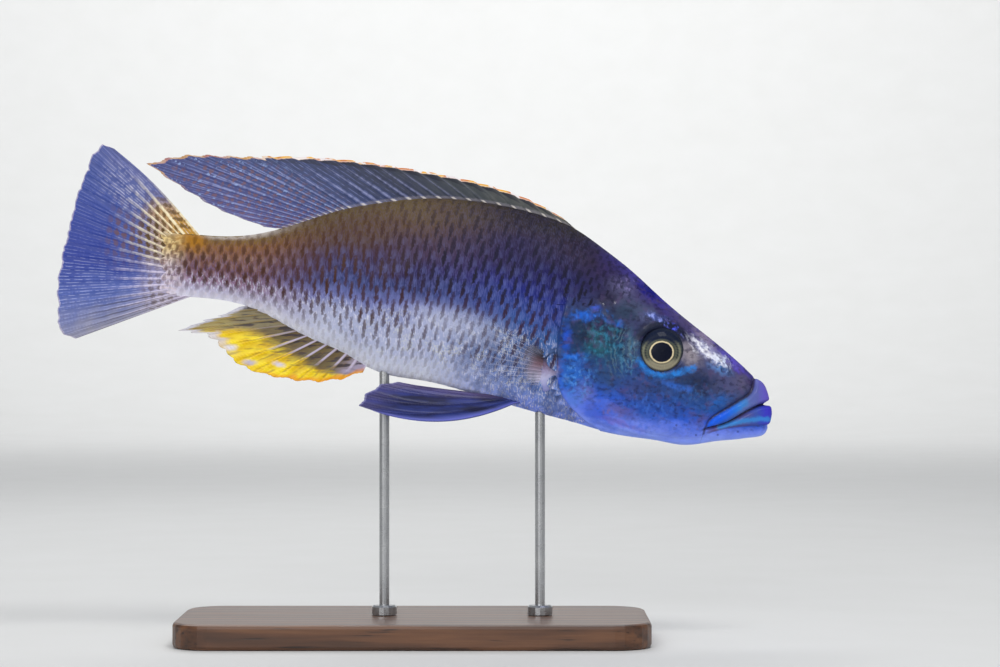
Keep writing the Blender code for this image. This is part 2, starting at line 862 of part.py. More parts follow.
def make_pelvic_fins(model, cutters):
    """A pair of folded fins under the belly, longest along their leading edge."""
    edge = smooth_path(PELVIC_EDGE)
    for name, side in (("pelvic_fin_left", 1.0), ("pelvic_fin_right", -1.0)):
        mirror = Vector((1.0, side, 1.0))
        roots = []
        tips = []
        for i in range(PELVIC_RAYS):
            share = i / (PELVIC_RAYS - 1)
            root = mix(Vector(PELVIC_ROOT[0]), Vector(PELVIC_ROOT[1]), share)
            roots.append(root * mirror)
            tips.append(edge(share) * mirror)
        across = (tips[1] - roots[1]).cross(roots[0] - roots[-1]).normalized()

        def bend(along, out):
            return Vector((0.0, 0.0, -PELVIC_SAG * (1.0 - along) * 4.0 * out * (1.0 - out)))

        columns = fin_columns(roots, tips, SOFT_NOTCH, bend)
        item = link(name, fin_mesh(name, columns, across), model)
        trim_to_body(item, cutters)


# Display stand.


def make_stand_base(model):
    """A flat rounded board that rests on the floor."""
    bm = bmesh.new()
    size = Matrix.Diagonal((BASE_SIZE[0], BASE_SIZE[1], BASE_SIZE[2], 1.0))
    place = Matrix.Translation((0.0, 0.0, BASE_SIZE[2] / 2.0))
    bmesh.ops.create_cube(bm, size=1.0, matrix=place @ size)
    corners = [edge for edge in bm.edges if abs(edge.verts[0].co.z - edge.verts[1].co.z) > 1.0]
    bmesh.ops.bevel(
        bm,
        geom=corners,
        offset=BASE_CORNER,
        segments=BASE_CORNER_SEGMENTS,
        profile=0.5,
        affect="EDGES",
    )
    base = link("stand_base", mesh_from(bm, "stand_base"), model)
    rounding = base.modifiers.new("Rounding", "BEVEL")
    rounding.width = BASE_ROUNDING * MM
    rounding.segments = BASE_ROUNDING_SEGMENTS
    rounding.limit_method = "ANGLE"
    rounding.angle_limit = math.radians(40.0)


def make_rod(name, x, model, cutters):
    """A thin turned rod with a collar, from the base up to the belly."""
    low = BASE_SIZE[2] + GAP
    high = belly(x) + ROD_OVERLAP
    shoulder = low + COLLAR_HEIGHT
    outline = (
        (0.0, high),
        (ROD_RADIUS, high),
        (ROD_RADIUS, shoulder),
        (COLLAR_RADIUS - COLLAR_CHAMFER, shoulder),
        (COLLAR_RADIUS, shoulder - COLLAR_CHAMFER),
        (COLLAR_RADIUS, low),
        (0.0, low),
    )
    bm = bmesh.new()
    points = [bm.verts.new((radius * MM, 0.0, height * MM)) for radius, height in outline]
    for start, end in zip(points, points[1:]):
        bm.edges.new((start, end))
    mesh = bpy.data.meshes.new(name)
    bm.to_mesh(mesh)
    bm.free()
    rod = link(name, mesh, model)
    turned = rod.modifiers.new("Turned", "SCREW")
    turned.angle = 2.0 * math.pi
    turned.steps = ROD_SIDES
    turned.render_steps = ROD_SIDES
    turned.use_merge_vertices = True
    turned.merge_threshold = 0.00001
    turned.use_smooth_shade = False
    with bpy.context.temp_override(object=rod, active_object=rod):
        bpy.ops.object.modifier_apply(modifier=turned.name)
    rod.data.transform(Matrix.Translation((x * MM, 0.0, 0.0)))
    trim_to_body(rod, cutters)


# Finishes.


FINISHES = {
    "head": ((0.10, 0.16, 0.34), 0.35),
    "upper_jaw": ((0.12, 0.20, 0.55), 0.35),
    "lower_jaw": ((0.18, 0.24, 0.60), 0.35),
    "gill_cover": ((0.05, 0.18, 0.32), 0.35),
    "trunk": ((0.22, 0.17, 0.28), 0.4),
    "tail_stalk": ((0.34, 0.24, 0.22), 0.4),
    "eye": ((0.22, 0.20, 0.10), 0.1),
    "dorsal_fin": ((0.20, 0.20, 0.38), 0.4),
    "anal_fin": ((0.80, 0.52, 0.06), 0.4),
    "caudal_fin": ((0.30, 0.30, 0.55), 0.4),
    "pectoral_fin": ((0.60, 0.62, 0.68), 0.3),
    "pelvic_fin": ((0.10, 0.10, 0.35), 0.4),
    "stand_base": ((0.12, 0.07, 0.04), 0.45),
    "stand_rod": ((0.60, 0.60, 0.60), 0.3),
}


def finish(item):
    """Give an object its own material, chosen by the start of its name."""
    key = next(key for key in FINISHES if item.name.startswith(key))
    colour, roughness = FINISHES[key]
    material = bpy.data.materials.new(item.name)
    material.use_nodes = True
    shader = material.node_tree.nodes["Principled BSDF"]
    shader.inputs["Base Color"].default_value = (*colour, 1.0)
    shader.inputs["Roughness"].default_value = roughness
    shader.inputs["Metallic"].default_value = 1.0 if key == "stand_rod" else 0.0
    item.data.materials.clear()
    item.data.materials.append(material)
    item.data.shade_smooth()
    item.data.set_sharp_from_angle(angle=math.radians(35.0))


def main():
    """Clear the scene and make the whole model."""
    for item in list(bpy.data.objects):
        bpy.data.objects.remove(item)
    model = bpy.data.collections.new(MODEL_NAME)
    cutters = bpy.data.collections.new("Cutters")
    for collection in (model, cutters):
        bpy.context.scene.collection.children.link(collection)
    make_body(model, cutters)
    make_eyes(model)
    make_dorsal_fin(model)
    make_anal_fin(model)
    make_caudal_fin(model)
    make_pectoral_fins(model, cutters)
    make_pelvic_fins(model, cutters)
    make_stand_base(model)
    for name, x in RODS:
        make_rod(name, x, model, cutters)
    for item in model.objects:
        finish(item)


main()
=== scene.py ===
"""Looks of a life-size malawi eye-biter, a flat-sided hunting cichlid, on a plain stand.

The shapes are worked out in millimetres in the frame of the solids and written in metres.
+X is the way the fish faces, +Y is its left side and +Z is up.
"""
import logging
import math
from dataclasses import dataclass
from enum import Enum
from typing import Callable, Dict, List, Optional, Sequence, Tuple, Union

import bpy
import numpy as np
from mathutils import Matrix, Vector


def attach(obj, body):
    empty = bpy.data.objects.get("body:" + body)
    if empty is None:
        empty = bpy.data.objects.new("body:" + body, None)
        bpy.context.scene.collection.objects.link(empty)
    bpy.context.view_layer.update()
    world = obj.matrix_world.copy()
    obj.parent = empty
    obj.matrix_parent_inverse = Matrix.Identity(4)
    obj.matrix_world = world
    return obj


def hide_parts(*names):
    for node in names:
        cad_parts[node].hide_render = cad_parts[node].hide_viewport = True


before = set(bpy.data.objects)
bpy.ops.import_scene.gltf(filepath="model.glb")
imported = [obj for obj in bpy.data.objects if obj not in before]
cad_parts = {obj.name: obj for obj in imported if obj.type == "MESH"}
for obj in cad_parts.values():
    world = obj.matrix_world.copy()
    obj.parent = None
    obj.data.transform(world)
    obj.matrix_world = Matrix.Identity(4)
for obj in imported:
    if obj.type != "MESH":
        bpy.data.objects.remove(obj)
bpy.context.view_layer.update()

LOG = logging.getLogger("eye_biter")
SCENE = bpy.context.scene
Array = np.ndarray
Curve = Callable[[Array], Array]
Object = bpy.types.Object
Material = bpy.types.Material
Marks = Dict[str, Array]
Colour = Tuple[float, float, float, float]
Screen = Tuple[int, int, int]
Pair = Tuple[float, float]
Point = Tuple[float, float, float]
Line = Sequence[Tuple[float, ...]]

MM = 0.001
TINY = 1e-9
BODY = "root"

# Body stations from snout to tail: place, height of the back, height of the belly,
# half width.
SNOUT_TIP = 114.2
STALK_END = -74.3
SKIN_END = -79.6
STATIONS = (
    (114.2, 73.1, 73.1, 0), (113.7, 75.2, 69.9, 2), (112.8, 79.3, 67, 3.1), (111.7, 82, 65.7, 3.8),
    (109.4, 83.8, 65, 4.6), (106, 86.9, 64.6, 5.2), (102.7, 89.9, 64.2, 5.8), (94.7, 96.6, 63.4, 7),
    (85.4, 104, 62.5, 8), (78.7, 109.8, 63.7, 8.6), (69.1, 118.6, 65.2, 9.7), (59.5, 126.1, 67.2, 10.8),
    (52.2, 131.2, 69.4, 11.3), (39.4, 136.4, 72.8, 11.6), (21.1, 140.3, 78.2, 11.5), (1.9, 141.3, 83.2, 11),
    (-14.5, 139.4, 87.2, 10), (-22, 138, 91.6, 9.2), (-34.9, 134.1, 97.4, 7.5), (-49.3, 130.1, 105.2, 5.4),
    (-60.8, 129.2, 108.7, 3.9), (-74.3, 130.3, 109.9, 2.3),
)
FULLEST_AT = 0.85
TOP_ROUNDING = ((114.2, 0.62), (78.7, 0.82), (45, 0.70), (0, 0.62), (-74.3, 0.70))
KEEL_ROUNDING = ((114.2, 0.55), (78.7, 0.55), (45, 0.58), (0, 0.62), (-74.3, 0.70))

# Places and lines of the head, seen from the side.
EYE_PLACE = (78.7, 92.9)
EYE_RADIUS = 7.2
EYE_HALF_DEPTH = 3.1
EYE_CENTRE_Y = 6.9
EYE_AIM = (0.10, 0.12)
NOSTRIL_PLACE = (98.7, 86.7)
MOUTH_LINE = (
    (117.5, 76.2), (111, 75.3), (104.9, 72.5), (99.3, 69.3), (93.6, 67.7), (90.6, 66.9)
)
LIP_GROOVE = (
    (111.5, 89), (109, 84), (107.4, 79.6), (104, 76.9), (98, 73.2), (93.8, 69.9),
    (92.4, 66.4),
)
CHIN_GROOVE = ((116.5, 68.8), (111.5, 68.6), (107, 68.2), (97.9, 67), (93.8, 65.8))
GILL_EDGE = (
    (59.5, 134), (56.6, 128.6), (49.6, 112), (46.6, 100.8), (45.5, 92), (45.5, 84),
    (47, 78.7), (50.6, 73.9), (55.6, 69.6), (60.6, 66), (64, 58),
)
GILL_TOP = 108
CHEEK_EDGE = (
    (60.8, 105), (63, 97.6), (63.4, 89.6), (64.8, 82.4), (69.1, 75.8), (76, 71),
    (83, 67.8),
)
THROAT_FOLDS = (
    ((94, 64.8), (84, 64.6), (72, 67), (60, 71.5)),
    ((92, 63.8), (80, 64.2), (68, 66.2), (58, 69.6)),
)
EYE_STRIPE = ((71.6, 89.4), (73.4, 87), (76.2, 85.4), (79.4, 84.8), (83.4, 85.5), (89, 87.2))
CHEEK_STRIPE = ((79.6, 82.6), (83.4, 81.3), (87.6, 80.2))
JAW_STRIPE = ((93.8, 69), (97.6, 71.2), (102, 73.9), (105.6, 76.2))
CHIN_STRIPE = ((97.4, 68.2), (104, 70.2), (111.4, 71), (115, 70.6))
PORES = (
    (95.5, 82), (91.5, 80.6), (86.5, 80), (82, 81.4), (71.5, 84.6), (68.8, 88.4),
    (66.5, 94), (65.8, 80.6), (70.4, 75.6), (76.4, 71.9), (83.6, 68.9), (101.6, 89),
    (94.2, 93.4), (88.4, 98.6), (103.4, 66.6), (97, 65.6), (90, 65.6), (70.6, 103.6),
    (63.6, 108.6),
)
PECTORAL_ROOT = ((43.4, 91.8), (41.6, 82))

# Lines with a positive and a negative side: name, line, steps and sign of the left hand.
SIGNED_LINES = (
    ("gill", GILL_EDGE, 40, 1.0), ("mouth", MOUTH_LINE, 30, -1.0), ("cheek", CHEEK_EDGE, 24, 1.0),
    ("groove", LIP_GROOVE, 30, 1.0), ("chin", CHIN_GROOVE, 24, -1.0),
)
PLAIN_LINES = (
    ("eye_stripe", EYE_STRIPE), ("cheek_stripe", CHEEK_STRIPE), ("jaw_stripe", JAW_STRIPE),
    ("chin_stripe", CHIN_STRIPE), ("fin_root", PECTORAL_ROOT),
)


# Curves and distances.


def smooth(value: Array, low: float, high: float) -> Array:
    """A soft step from 0 at low to 1 at high."""
    share = np.clip((value - low) / (high - low), 0.0, 1.0)
    return share * share * (3.0 - 2.0 * share)


def bump(distance: Array, width: float) -> Array:
    """A soft rise of height one that fades over the width."""
    return np.exp(-(distance / width) ** 2)


def unit(arrows: Array) -> Array:
    """Arrows of the same direction and of length one."""
    return arrows / np.maximum(np.linalg.norm(arrows, axis=-1, keepdims=True), TINY)


def natural_curve(places: Sequence[float], values: Sequence) -> Curve:
    """A smooth curve through values at rising places, free at both ends.

    Args:
        places: where the values stand, rising.
        values: one number or one point for each place.

    Returns:
        A function that reads the curve at an array of places.
    """
    at = np.asarray(places, float)
    level = np.asarray(values, float)
    single = level.ndim == 1
    level = level.reshape(len(at), -1)
    steps = np.diff(at)
    slopes = np.diff(level, axis=0) / steps[:, None]
    matrix = np.eye(len(at))
    right = np.zeros_like(level)
    for i in range(1, len(at) - 1):
        matrix[i, i - 1:i + 2] = (steps[i - 1], 2.0 * (steps[i - 1] + steps[i]), steps[i])
        right[i] = 6.0 * (slopes[i] - slopes[i - 1])
    bends = np.linalg.solve(matrix, right)

    def read(place: Array) -> Array:
        """The curve at an array of places.

        Args:
            place: the places.

        Returns:
            The values or points there.
        """
        place = np.asarray(place, float)
        i = np.clip(np.searchsorted(at, place) - 1, 0, len(at) - 2)
        step = steps[i][..., None]
        before = (place - at[i])[..., None]
        after = (at[i + 1] - place)[..., None]
        found = (bends[i] * after ** 3 + bends[i + 1] * before ** 3) / (6.0 * step)
        found = found + (level[i] / step - bends[i] * step / 6.0) * after
        found = found + (level[i + 1] / step - bends[i + 1] * step / 6.0) * before
        return found[..., 0] if single else found

    return read


def smooth_path(points: Line) -> Curve:
    """A smooth path through points, read by the share of its length.

    Args:
        points: the points that the path goes through.

    Returns:
        A function from an array of shares to an array of points.
    """
    joints = np.asarray(points, float)
    lengths = np.concatenate(([0.0], np.cumsum(np.linalg.norm(np.diff(joints, axis=0), axis=1))))
    curve = natural_curve(lengths, joints)
    return lambda share: curve(np.asarray(share, float) * lengths[-1])


def line_distance(x: Array, z: Array, line: Line, steps: int = 24) -> Tuple[Array, Array]:
    """How far places seen from the side are from a smooth line.

    Args:
        x: distances along the body.
        z: heights.
        line: the points that the line goes through.
        steps: how many straight pieces stand for the line.

    Returns:
        The distance, and +1 on the left hand of the line's run or -1 on its right.
    """
    points = smooth_path(line)(np.linspace(0.0, 1.0, steps + 1))
    nearest = np.full(x.shape, np.inf)
    hand = np.zeros(x.shape)
    for (ax, az), (bx, bz) in zip(points, points[1:]):
        run_x = bx - ax
        run_z = bz - az
        share = np.clip(((x - ax) * run_x + (z - az) * run_z) / (run_x ** 2 + run_z ** 2), 0.0, 1.0)
        off_x = x - ax - share * run_x
        off_z = z - az - share * run_z
        gap = np.hypot(off_x, off_z)
        closer = gap < nearest
        nearest = np.where(closer, gap, nearest)
        hand = np.where(closer, np.sign(run_x * off_z - run_z * off_x), hand)
    return nearest, hand


# Meshes.


def volume(points: Array, faces: List[Array]) -> float:
    """The volume that faces enclose, which is negative where they are turned in.

    Args:
        points: one row for each vertex.
        faces: arrays of vertex numbers, each array with one kind of face.

    Returns:
        The volume, in the cube of the points' unit.
    """
    middle = points.mean(axis=0)
    total = 0.0
    for group in faces:
        start = points[group[:, 0]] - middle
        for k in range(1, group.shape[1] - 1):
            turned = np.cross(points[group[:, k]] - middle, points[group[:, k + 1]] - middle)
            total += float((start * turned).sum()) / 6.0
    return total


def link(name: str, data: bpy.types.ID) -> Object:
    """A new object in the scene from its mesh, light or camera."""
    item = bpy.data.objects.new(name, data)
    SCENE.collection.objects.link(item)
    return item


def make_piece(
    name: str,
    points: Array,
    faces: List[Array],
    values: Optional[Marks] = None,
) -> Object:
    """A smooth-shaded mesh object from points in millimetres.

    Args:
        name: the piece's name.
        points: one row for each vertex.
        faces: arrays of vertex numbers, each array with one kind of face.
        values: numbers at the vertices that the materials read, by name.

    Returns:
        The new object, linked to the scene.
    """
    if volume(points, faces) < 0.0:
        faces = [group[:, ::-1] for group in faces]
    mesh = bpy.data.meshes.new(name)
    polygons = [face for group in faces for face in group.tolist()]
    mesh.from_pydata((points * MM).tolist(), [], polygons)
    for key, numbers in (values or {}).items():
        layer = mesh.attributes.new(key, "FLOAT", "POINT")
        layer.data.foreach_set("value", np.ascontiguousarray(numbers, np.float32).ravel())
    mesh.shade_smooth()
    return link(name, mesh)


def grid_faces(rows: int, columns: int, looped: bool = False, first: int = 0) -> Array:
    """Quads over a grid of vertices numbered row by row.

    Args:
        rows: how many rows the grid has.
        columns: how many vertices a row has.
        looped: whether a row's end joins its start.
        first: the number of the first vertex.

    Returns:
        One row of four vertex numbers for each quad.
    """
    across = np.arange(columns if looped else columns - 1)
    down = np.arange(rows - 1)[:, None] * columns
    right = (across + 1) % columns
    corners = (down + across, down + right, down + columns + right, down + columns + across)
    return np.stack([corner.ravel() for corner in corners], axis=1) + first


def settle(item: Object, material: Material, slot: str, *nodes: str) -> None:
    """Dress a piece, fix it to the body and hide the solids that it replaces.

    Args:
        item: the piece.
        material: its finish.
        slot: the record's slot that the finish belongs to; not used.
        nodes: the solids that the piece replaces.
    """
    item.data.materials.clear()
    item.data.materials.append(material)
    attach(item, BODY)
    if nodes:
        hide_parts(*nodes)
    LOG.info("%s: %d faces", item.name, len(item.data.polygons))


# Shader nodes.


Number = Union[float, "Value"]


class Value:
    """A number or colour from a node, which can be used in sums."""

    def __init__(self, paint: "Paint", socket: bpy.types.NodeSocket) -> None:
        """Keep the socket and the material that it is in."""
        self.paint = paint
        self.socket = socket

    def maths(self, operation: str, *parts: Number) -> "Value":
        """A new Math node over its parts."""
        return self.paint.node("Math", {"operation": operation}, dict(enumerate(parts)))

    def __add__(self, other: Number) -> "Value":
        """This number plus another."""
        return self.maths("ADD", self, other)

    def __radd__(self, other: Number) -> "Value":
        """Another number plus this one."""
        return self.maths("ADD", other, self)

    def __sub__(self, other: Number) -> "Value":
        """This number less another."""
        return self.maths("SUBTRACT", self, other)

    def __rsub__(self, other: Number) -> "Value":
        """Another number less this one."""
        return self.maths("SUBTRACT", other, self)

    def __mul__(self, other: Number) -> "Value":
        """This number times another."""
        return self.maths("MULTIPLY", self, other)

    def __rmul__(self, other: Number) -> "Value":
        """Another number times this one."""
        return self.maths("MULTIPLY", other, self)

    def __truediv__(self, other: Number) -> "Value":
        """This number over another."""
        return self.maths("DIVIDE", self, other)

    def __rtruediv__(self, other: Number) -> "Value":
        """Another number over this one."""
        return self.maths("DIVIDE", other, self)

    def __pow__(self, other: Number) -> "Value":
        """This number to a power."""
        return self.maths("POWER", self, other)

    def step(self, low: float, high: float, full: float = 1.0) -> "Value":
        """A soft step from 0 at low to full at high."""
        ends = (full, 0.0) if low > high else (0.0, full)
        sockets = dict(enumerate((self, min(low, high), max(low, high), *ends)))
        return self.paint.node("MapRange", {"interpolation_type": "SMOOTHSTEP"}, sockets)

    def band(self, middle: float, width: float) -> "Value":
        """One at the middle and nothing a width away from it."""
        return self.maths("ABSOLUTE", self - middle).step(width, 0.0)

    def repeat(self) -> "Value":
        """Distance from the nearest whole number, from 0 to 0.5."""
        return self.maths("PINGPONG", self, 0.5)

    def wave(self) -> "Value":
        """The sine of a number in radians."""
        return self.maths("SINE", self)


def pigment(red: int, green: int, blue: int) -> Colour:
    """A colour from screen values of 0 to 255, as linear light.

    Args:
        red: the red value.
        green: the green value.
        blue: the blue value.

    Returns:
        Red, green, blue and a full alpha.
    """
    linear = []
    for level in (red, green, blue):
        share = level / 255.0
        linear.append(share / 12.92 if share <= 0.04045 else ((share + 0.055) / 1.055) ** 2.4)
    return (*linear, 1.0)


Tint = Union[Screen, Value]


def dye(tint: Tint) -> Union[Colour, Value]:
    """A colour for a socket, from screen values or from another node."""
    return tint if isinstance(tint, Value) else pigment(*tint)


@dataclass(frozen=True)
class Patch:
    """A soft patch of one pigment or of painted highlight, an ellipse seen from the side, in millimetres.
    """

    x: float
    z: float
    long: float
    high: float
    colour: Screen
    strength: float = 0.8
    turn: float = 0.0


class Paint:
    """One material and the nodes that colour it."""

    patch_start: float = 0.1
    patch_end: float = 1.4

    def __init__(self, name: str, **constants: float) -> None:
        """Start a material whose shader sockets have constant values.

        Args:
            name: the material's name.
            constants: the sockets' values, by name.
        """
        self.material = bpy.data.materials.new(name)
        self.material.use_nodes = True
        self.tree = self.material.node_tree
        self.shader = self.tree.nodes["Principled BSDF"]
        for key, value in constants.items():
            self.shader.inputs[key.replace("_", " ")].default_value = value
        self.place = self.node("TexCoord", {}, {}, "Object")

    def feed(self, target: bpy.types.NodeSocket, value: Union[Number, tuple]) -> None:
        """Link a value to a socket, or set the socket to a constant.

        Args:
            target: the socket.
            value: the link or the constant.
        """
        if isinstance(value, Value):
            self.tree.links.new(value.socket, target)
        else:
            target.default_value = value

    def node(
        self,
        kind: str,
        settings: Dict[str, object],
        sockets: Dict[Union[int, str], Union[Number, tuple]],
        output: Union[int, str] = 0,
    ) -> Value:
        """A new node of any type.

        Args:
            kind: the node's type, less the start that all types share.
            settings: its properties, set first; "stops" holds a colour ramp's stops.
            sockets: values or links for its inputs, by name or number.
            output: the output to return.

        Returns:
            The output as a value.
        """
        made = self.tree.nodes.new("ShaderNode" + kind)
        for key, setting in settings.items():
            if key == "stops":
                elements = made.color_ramp.elements
                while len(elements) < len(setting):
                    elements.new(1.0)
                for element, (place, colour) in zip(elements, setting):
                    element.position = place
                    element.color = colour
            else:
                setattr(made, key, setting)
        for key, value in sockets.items():
            self.feed(made.inputs[key], value)
        return Value(self, made.outputs[output])

    def read(self, name: str) -> Value:
        """A number kept at the mesh's vertices."""
        return self.node("Attribute", {"attribute_name": name}, {}, "Fac")

    def reads(self, *names: str) -> List[Value]:
        """Several numbers kept at the mesh's vertices."""
        return [self.read(name) for name in names]

    def axes(self) -> Tuple[Value, Value, Value]:
        """The place along, across and up, in millimetres."""
        split = self.node("SeparateXYZ", {}, {0: self.place}).socket.node
        x, y, z = (Value(self, output) * (1.0 / MM) for output in split.outputs)
        return x, y, z

    def mix(self, share: Number, under: Tint, over: Tint) -> Value:
        """One colour over another by a share."""
        sockets = {0: share, 6: dye(under), 7: dye(over)}
        return self.node("Mix", {"data_type": "RGBA"}, sockets, 2)

    def ramp(self, value: Value, *stops: Tuple[float, int, int, int]) -> Value:
        """A colour that follows a number through stops, each a place and a screen colour."""
        colours = [(place, pigment(*screen)) for place, *screen in stops]
        return self.node("ValToRGB", {"stops": colours}, {0: value})

    def noise(self, size: float, stretch: tuple = (1.0, 1.0, 1.0), detail: float = 3.0) -> Value:
        """Cloudy noise with spots of about a size in millimetres.

        Args:
            size: the width of a spot.
            stretch: how much closer the spots stand along each axis.
            detail: how many finer layers the noise has.

        Returns:
            The noise, mostly between 0.3 and 0.7.
        """
        place = self.vector("MULTIPLY", self.place, stretch)
        sockets = {"Vector": place, "Scale": 1.0 / (size * MM), "Detail": detail}
        return self.node("TexNoise", {}, sockets)

    def warped(self, size: float, amount: float) -> Value:
        """The place in millimetres, pushed about by noise so that patches get ragged edges.

        Args:
            size: the width of the noise's spots.
            amount: how far a place may move.

        Returns:
            The place as a vector.
        """
        sockets = {"Vector": self.place, "Scale": 1.0 / (size * MM), "Detail": 3.0}
        cloud = self.node("TexNoise", {}, sockets, "Color")
        shift = self.vector("MULTIPLY_ADD", cloud, (amount,) * 3, (-amount / 2.0,) * 3)
        return self.vector("MULTIPLY_ADD", self.place, (1.0 / MM,) * 3, shift)

    def vector(self, operation: str, *parts: object) -> Value:
        """A Vector Math node over its parts."""
        return self.node("VectorMath", {"operation": operation}, dict(enumerate(parts)))

    def patch(self, place: Value, patch: Patch) -> Value:
        """How much of a patch lies at a place, from 0 outside to its strength.

        Args:
            place: the place in millimetres.
            patch: the patch.

        Returns:
            The share that its colour takes.
        """
        centre = (patch.x, 0.0, patch.z)
        if patch.turn:
            turn = {"Vector": place, "Center": centre, "Axis": (0.0, 1.0, 0.0)}
            turn["Angle"] = math.radians(-patch.turn)
            place = self.node("VectorRotate", {"rotation_type": "AXIS_ANGLE"}, turn)
        scale = (1.0 / patch.long, 0.0, 1.0 / patch.high)
        shift = (-patch.x / patch.long, 0.0, -patch.z / patch.high)
        near = self.vector("MULTIPLY_ADD", place, scale, shift)
        away = self.node("VectorMath", {"operation": "LENGTH"}, {0: near}, "Value")
        return away.step(self.patch_end, self.patch_start, patch.strength)

    def relief(self, height: Value, depth: float, strength: float = 1.0) -> Value:
        """A bump whose height of one stands for a depth in millimetres."""
        sockets = {"Strength": strength, "Distance": depth * MM, "Height": height}
        return self.node("Bump", {}, sockets, "Normal")

    def finish(self, **links: Value) -> Material:
        """Link the shader's varying sockets and return the material."""
        for key, value in links.items():
            self.feed(self.shader.inputs[key.replace("_", " ")], value)
        return self.material


class Coat:
    """A colour that is built up layer by layer."""

    def __init__(self, paint: Paint, colour: Tint) -> None:
        """Start from the lowest colour."""
        self.paint = paint
        self.colour = colour

    def lay(self, share: Number, over: Tint) -> None:
        """Lay one more colour over the others by a share."""
        self.colour = self.paint.mix(share, self.colour, over)

    def lay_patches(
        self, patches: Sequence[Patch], place: Value, cover: Optional[Value] = None
    ) -> None:
        """Lay soft patches of pigment or of painted highlight over the colour.

        Args:
            patches: the patches, from the lowest up.
            place: the place in millimetres.
            cover: how much of every patch is laid, by which its own share is multiplied.
        """
        for patch in patches:
            share = self.paint.patch(place, patch)
            self.lay(share if cover is None else share * cover, patch.colour)


# The body's shape.


